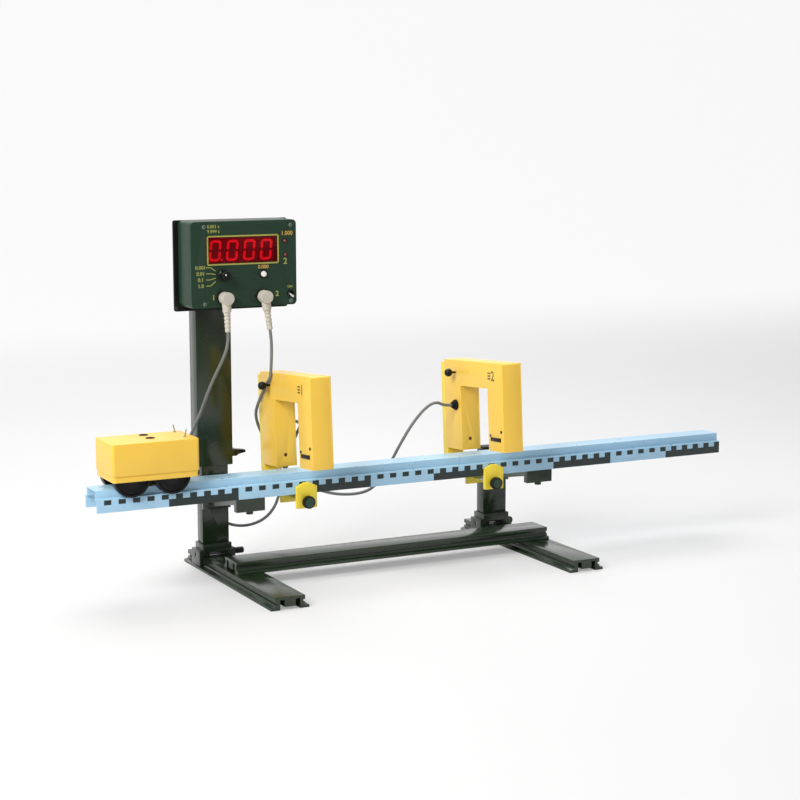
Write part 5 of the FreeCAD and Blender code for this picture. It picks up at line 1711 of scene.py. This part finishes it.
@dataclass
class LightGate:
    """One light gate: a leaning yellow casing clamped to the track.

    Attributes:
        index: 1 or 2.
        x: where along the track its middle is.
        gland_side: 1 where its lead goes in from the right, and -1 from the left.
        gland_y, gland_z: where the gland is, from the gate's pivot.
        lean: how far it leans back.
        pivot_z: the height about which it leans.
        half: half the casing's thickness.
    """

    index: int
    x: float
    gland_side: int
    gland_y: float
    gland_z: float
    lean: float = math.radians(4)
    pivot_z: float = 0.130
    half: float = 0.0155
    clamp_z: float = 0.119
    knob_front_y: float = -0.0655
    knob_radius: float = 0.0089
    knob_length: float = 0.009
    label_y: float = -0.0855
    label_z: float = 0.1415
    number_height: float = 0.0140
    rule_size: tuple[float, float] = (0.0085, 0.0022)
    rule_rises: tuple[float, ...] = (-0.0045, -0.0005, 0.0035)
    lens_y: float = -0.0751
    lens_z: float = 0.0569
    screw_radius: float = 0.0024
    screw_places: tuple[tuple[float, float], ...] = (
        (-0.108, 0.155), (0.054, 0.155), (-0.108, 0.0405), (0.054, 0.034), (-0.030, 0.1420),
    )

    @property
    def body(self) -> str:
        """The body that carries the casing."""
        return f"gate_{self.index}"

    @property
    def stance(self) -> Matrix:
        """Stands a piece that is made upright about the gate's pivot on the track, leaning back."""
        return Matrix.Translation((self.x, 0, self.pivot_z)) @ Matrix.Rotation(-self.lean, 4, "X")

    def name(self, part: str) -> str:
        """The name of one of the gate's pieces."""
        return f"{self.body}_{part}"

    def build_casing(self) -> None:
        """Rounds the casing, its cover, bracket and jaw, the sensors, the peg and the strip."""
        for part, look, width in (
            ("shell", GATE_YELLOW, 0.0011), ("cover", GATE_YELLOW, 0.0007), ("bracket", JAW_YELLOW, 0.0009),
            ("jaw", JAW_YELLOW, 0.0008), ("sensors", SENSOR_BROWN, 0.0006), ("lead_peg", BLACK, 0.0004),
            ("trim", BLACK, 0.0005),
        ):
            rounded_solid(self.name(part), self.body, look, width, 3)

    def build_gland(self) -> None:
        """Makes the ribbed rubber gland where the lead goes in."""
        side = self.gland_side
        axis = Axis.RIGHT if side > 0 else Axis.LEFT
        rings: Profile = [
            (0, 0.0070), (0.0006, 0.00775), (0.0028, 0.00775), (0.0034, 0.0071), (0.0036, 0.0060),
        ]
        for step in range(3):
            far = 0.0040 + step * 0.0013
            wide = 0.0060 - step * 0.0006
            rings += [(far, wide - 0.0007), (far + 0.0004, wide - 0.0007), (far + 0.0005, wide)]
        rings += [(0.0080, 0.0042), (0.0080, 0.0026), (0.0076, 0.0024)]
        start = (side * self.half, self.gland_y, self.gland_z)
        gland = turned(self.name("gland_ribbed"), start, axis, rings)
        gland.data.transform(self.stance)
        smooth(gland)
        finish_piece(gland, self.body, RUBBER, self.name("gland"))

    def build_clamp_knob(self) -> None:
        """Makes the clamp screw with its fluted knob and green cap."""
        body = self.name("clamp_knob")
        wide = self.knob_radius
        long = self.knob_length
        back = self.knob_front_y + long
        start = (self.x, back, self.clamp_z)
        knob = turned(
            self.name("knob_grip"), start, Axis.FRONT,
            [(0, wide * 0.55), (0.0008, wide * 0.62), (0.0012, wide * 0.94), (0.002, wide),
             (long - 0.0016, wide), (long - 0.0005, wide * 0.93), (long, wide * 0.8), (long, wide * 0.5),
             (long - 0.0005, wide * 0.48)],
        )
        flute(knob, (start[0], start[1] - 0.0010, start[2]), Axis.FRONT, wide, long, 24)
        soften(knob, 0.0003, 2)
        finish_piece(knob, body, BLACK, body)
        cap_start = (self.x, back - long + 0.0006, self.clamp_z)
        cap = turned(
            self.name("knob_cap"), cap_start, Axis.FRONT,
            [(0, wide * 0.74), (0.0007, wide * 0.74), (0.0010, wide * 0.68), (0.0013, wide * 0.4),
             (0.00135, wide * 0.1)],
        )
        smooth(cap)
        finish_piece(cap, body, CAP_GREEN)
        screw = turned(
            self.name("clamp_screw"), (self.x, back - 0.001, self.clamp_z), Axis.BACK,
            [(0, 0.003), (0.0632, 0.003), (0.0639, 0.0024)], 32,
        )
        smooth(screw)
        finish_piece(screw, body, STEEL)

    def build_screws(self) -> None:
        """Makes the five screws that hold the cover."""
        wide = self.screw_radius
        screws = [pan_screw((self.half, y, z), Axis.RIGHT, wide) for y, z in self.screw_places]
        screw = join(screws, self.name("cover_screws"))
        screw.data.transform(self.stance)
        smooth(screw)
        finish_piece(screw, self.body, STEEL)

    def build_marks(self) -> None:
        """Prints the gate's number and three short rules on its left face, and makes the small lens."""
        face = -self.half - 0.00005
        upright = Matrix.Rotation(-math.pi / 2, 4, "Z") @ Matrix.Rotation(math.pi / 2, 4, "X")
        place = Matrix.Translation((face, self.label_y, self.label_z)) @ upright
        marks = [words(str(self.index), self.number_height, self.stance @ place, "number")]
        long, tall = self.rule_size
        for up in self.rule_rises:
            near = (face - 0.00004, self.label_y + 0.0058, self.label_z + up)
            rule = block(near, (face, near[1] + long, near[2] + tall))
            soften(rule, 0.00002, 1)
            rule.data.transform(self.stance)
            marks.append(rule)
        finish_piece(join(marks, self.name("number")), self.body, GREY_INK)
        start = (-self.half + 0.002, self.lens_y, self.lens_z)
        lens = turned(
            self.name("lens"), start, Axis.LEFT,
            [(0, 0.0023), (0.0022, 0.0023), (0.0027, 0.0019), (0.0027, 0.0014), (0.0023, 0.0012)], 32,
        )
        lens.data.transform(self.stance)
        smooth(lens)
        finish_piece(lens, self.body, LAMP if self.index == 2 else BLACK)

    def build(self) -> None:
        """Makes the gate's pieces."""
        self.build_casing()
        self.build_gland()
        self.build_clamp_knob()
        self.build_screws()
        self.build_marks()


@dataclass
class Trolley:
    """The yellow trolley on its four black wheels."""

    wheel_x: tuple[tuple[str, float], ...] = (("rear", -0.4525), ("front", -0.396))
    wheel_z: float = 0.173
    wheel_radius: float = 0.025
    wheel_width: float = 0.0144
    middle_y: float = -0.02605
    wheel_gap: float = 0.0362
    hub: float = 0.0055
    body_low_z: float = 0.1781
    base_top_z: float = 0.178
    pins_x: float = -0.380
    top_z: float = 0.221
    bottom_round: float = 0.0021
    top_round: float = 0.0013
    lip_round: float = 0.0018
    rim_margin: float = 0.0002

    def build_shell(self) -> None:
        """Rounds the body's lower and upper rims and the lip of the base below the seam."""
        body = copy_solid("trolley_body", "trolley_body_rounded")
        round_rim(body, lambda end: abs(end.z - self.body_low_z) < self.rim_margin, self.bottom_round, 2)
        round_rim(body, lambda end: abs(end.z - self.top_z) < self.rim_margin, self.top_round)
        soften(body, 0.0004, 2)
        finish_piece(body, "trolley", GATE_YELLOW, "trolley_body")
        base = copy_solid("trolley_base", "trolley_base_rounded")
        round_rim(base, lambda end: abs(end.z - self.base_top_z) < self.rim_margin, self.lip_round)
        soften(base, 0.0004, 2)
        finish_piece(base, "trolley", GATE_YELLOW, "trolley_base")

    def build_fittings(self) -> None:
        """Makes the two black plugs and the two grey pins on top, and rounds the bumper and bushes."""
        plugs = copy_solid("trolley_top_fittings", "trolley_top_plugs")
        pins = copy_solid("trolley_top_fittings", "trolley_top_pins")
        edit(plugs, "FACE", lambda face: face.center.x > self.pins_x)
        bpy.ops.mesh.delete(type="FACE")
        close()
        soften(plugs, 0.0003, 2)
        finish_piece(plugs, "trolley", RUBBER, "trolley_top_fittings")
        edit(pins, "FACE", lambda face: face.center.x < self.pins_x)
        bpy.ops.mesh.delete(type="FACE")
        close()
        soften(pins, 0.0002, 2)
        finish_piece(pins, "trolley", PIN_GREY)
        rounded_solid("trolley_bumper", "trolley", RUBBER, 0.0011, 3)
        rounded_solid("axle_bushes", "trolley", BRASS, 0.0003)

    def one_wheel(self, x: float, outer_y: float, out: Axis) -> bpy.types.Object:
        """A moulded wheel with a rounded tread, a dished face and a hub.

        Args:
            x: where its axle is.
            outer_y: how far back its outer face is.
            out: the way that the outer face looks.

        Returns:
            The wheel.
        """
        wide = self.wheel_radius
        thick = self.wheel_width
        rim = wide - 0.0035
        start = Vector((x, outer_y, self.wheel_z)) - out.value * thick
        wheel = turned(
            "wheel", tuple(start), out,
            [(0, 0.0021), (0, self.hub), (0.002, self.hub + 0.0004), (0.002, rim), (0.0004, rim + 0.0012),
             (0.0004, wide - 0.0010), (0.0012, wide), (thick - 0.0014, wide),
             (thick - 0.0004, wide - 0.0008), (thick, wide - 0.0018), (thick, rim + 0.0004),
             (thick - 0.0006, rim), (thick - 0.0026, rim - 0.0006), (thick - 0.003, rim - 0.0012),
             (thick - 0.003, self.hub + 0.0022), (thick - 0.0024, self.hub + 0.0004),
             (thick - 0.0003, self.hub), (thick, self.hub - 0.0004), (thick, 0.0021)],
            96,
        )
        carve(wheel, prism(32, 0.0020, tuple(start - out.value * 0.001), out, thick + 0.002))
        return wheel

    def build_wheels(self) -> None:
        """Makes the four wheels and rounds their axles."""
        inner = self.wheel_gap / 2
        for end, x in self.wheel_x:
            body = f"{end}_wheelset"
            wheels = [
                self.one_wheel(x, self.middle_y - inner - self.wheel_width, Axis.FRONT),
                self.one_wheel(x, self.middle_y + inner + self.wheel_width, Axis.BACK),
            ]
            pair = join(wheels, f"{end}_wheels_moulded")
            smooth(pair)
            finish_piece(pair, body, WHEEL, f"{end}_wheels")
            rounded_solid(f"{end}_axle", body, STEEL, 0.0005, 3)

    def build(self) -> None:
        """Makes the trolley's pieces."""
        self.build_shell()
        self.build_fittings()
        self.build_wheels()


def build_all(parts: Iterable[object]) -> None:
    """Builds each assembly in turn and reports it.

    Args:
        parts: the assemblies, each with a build method.
    """
    for part in parts:
        part.build()
        log.info("%s is made", type(part).__name__)


def main() -> None:
    """Makes the camera, the leads, every assembly and the studio."""
    logging.basicConfig(level=logging.INFO, format="%(message)s")
    build_all([
        Camera(), Leads(), Stand(), Track(), Display(),
        LightGate(index=1, x=-0.20075, gland_side=1, gland_y=0.044, gland_z=0.088),
        LightGate(index=2, x=0.0965, gland_side=-1, gland_y=0.02506, gland_z=0.0946),
        Trolley(), Studio(),
    ])


if __name__ == "__main__":
    main()
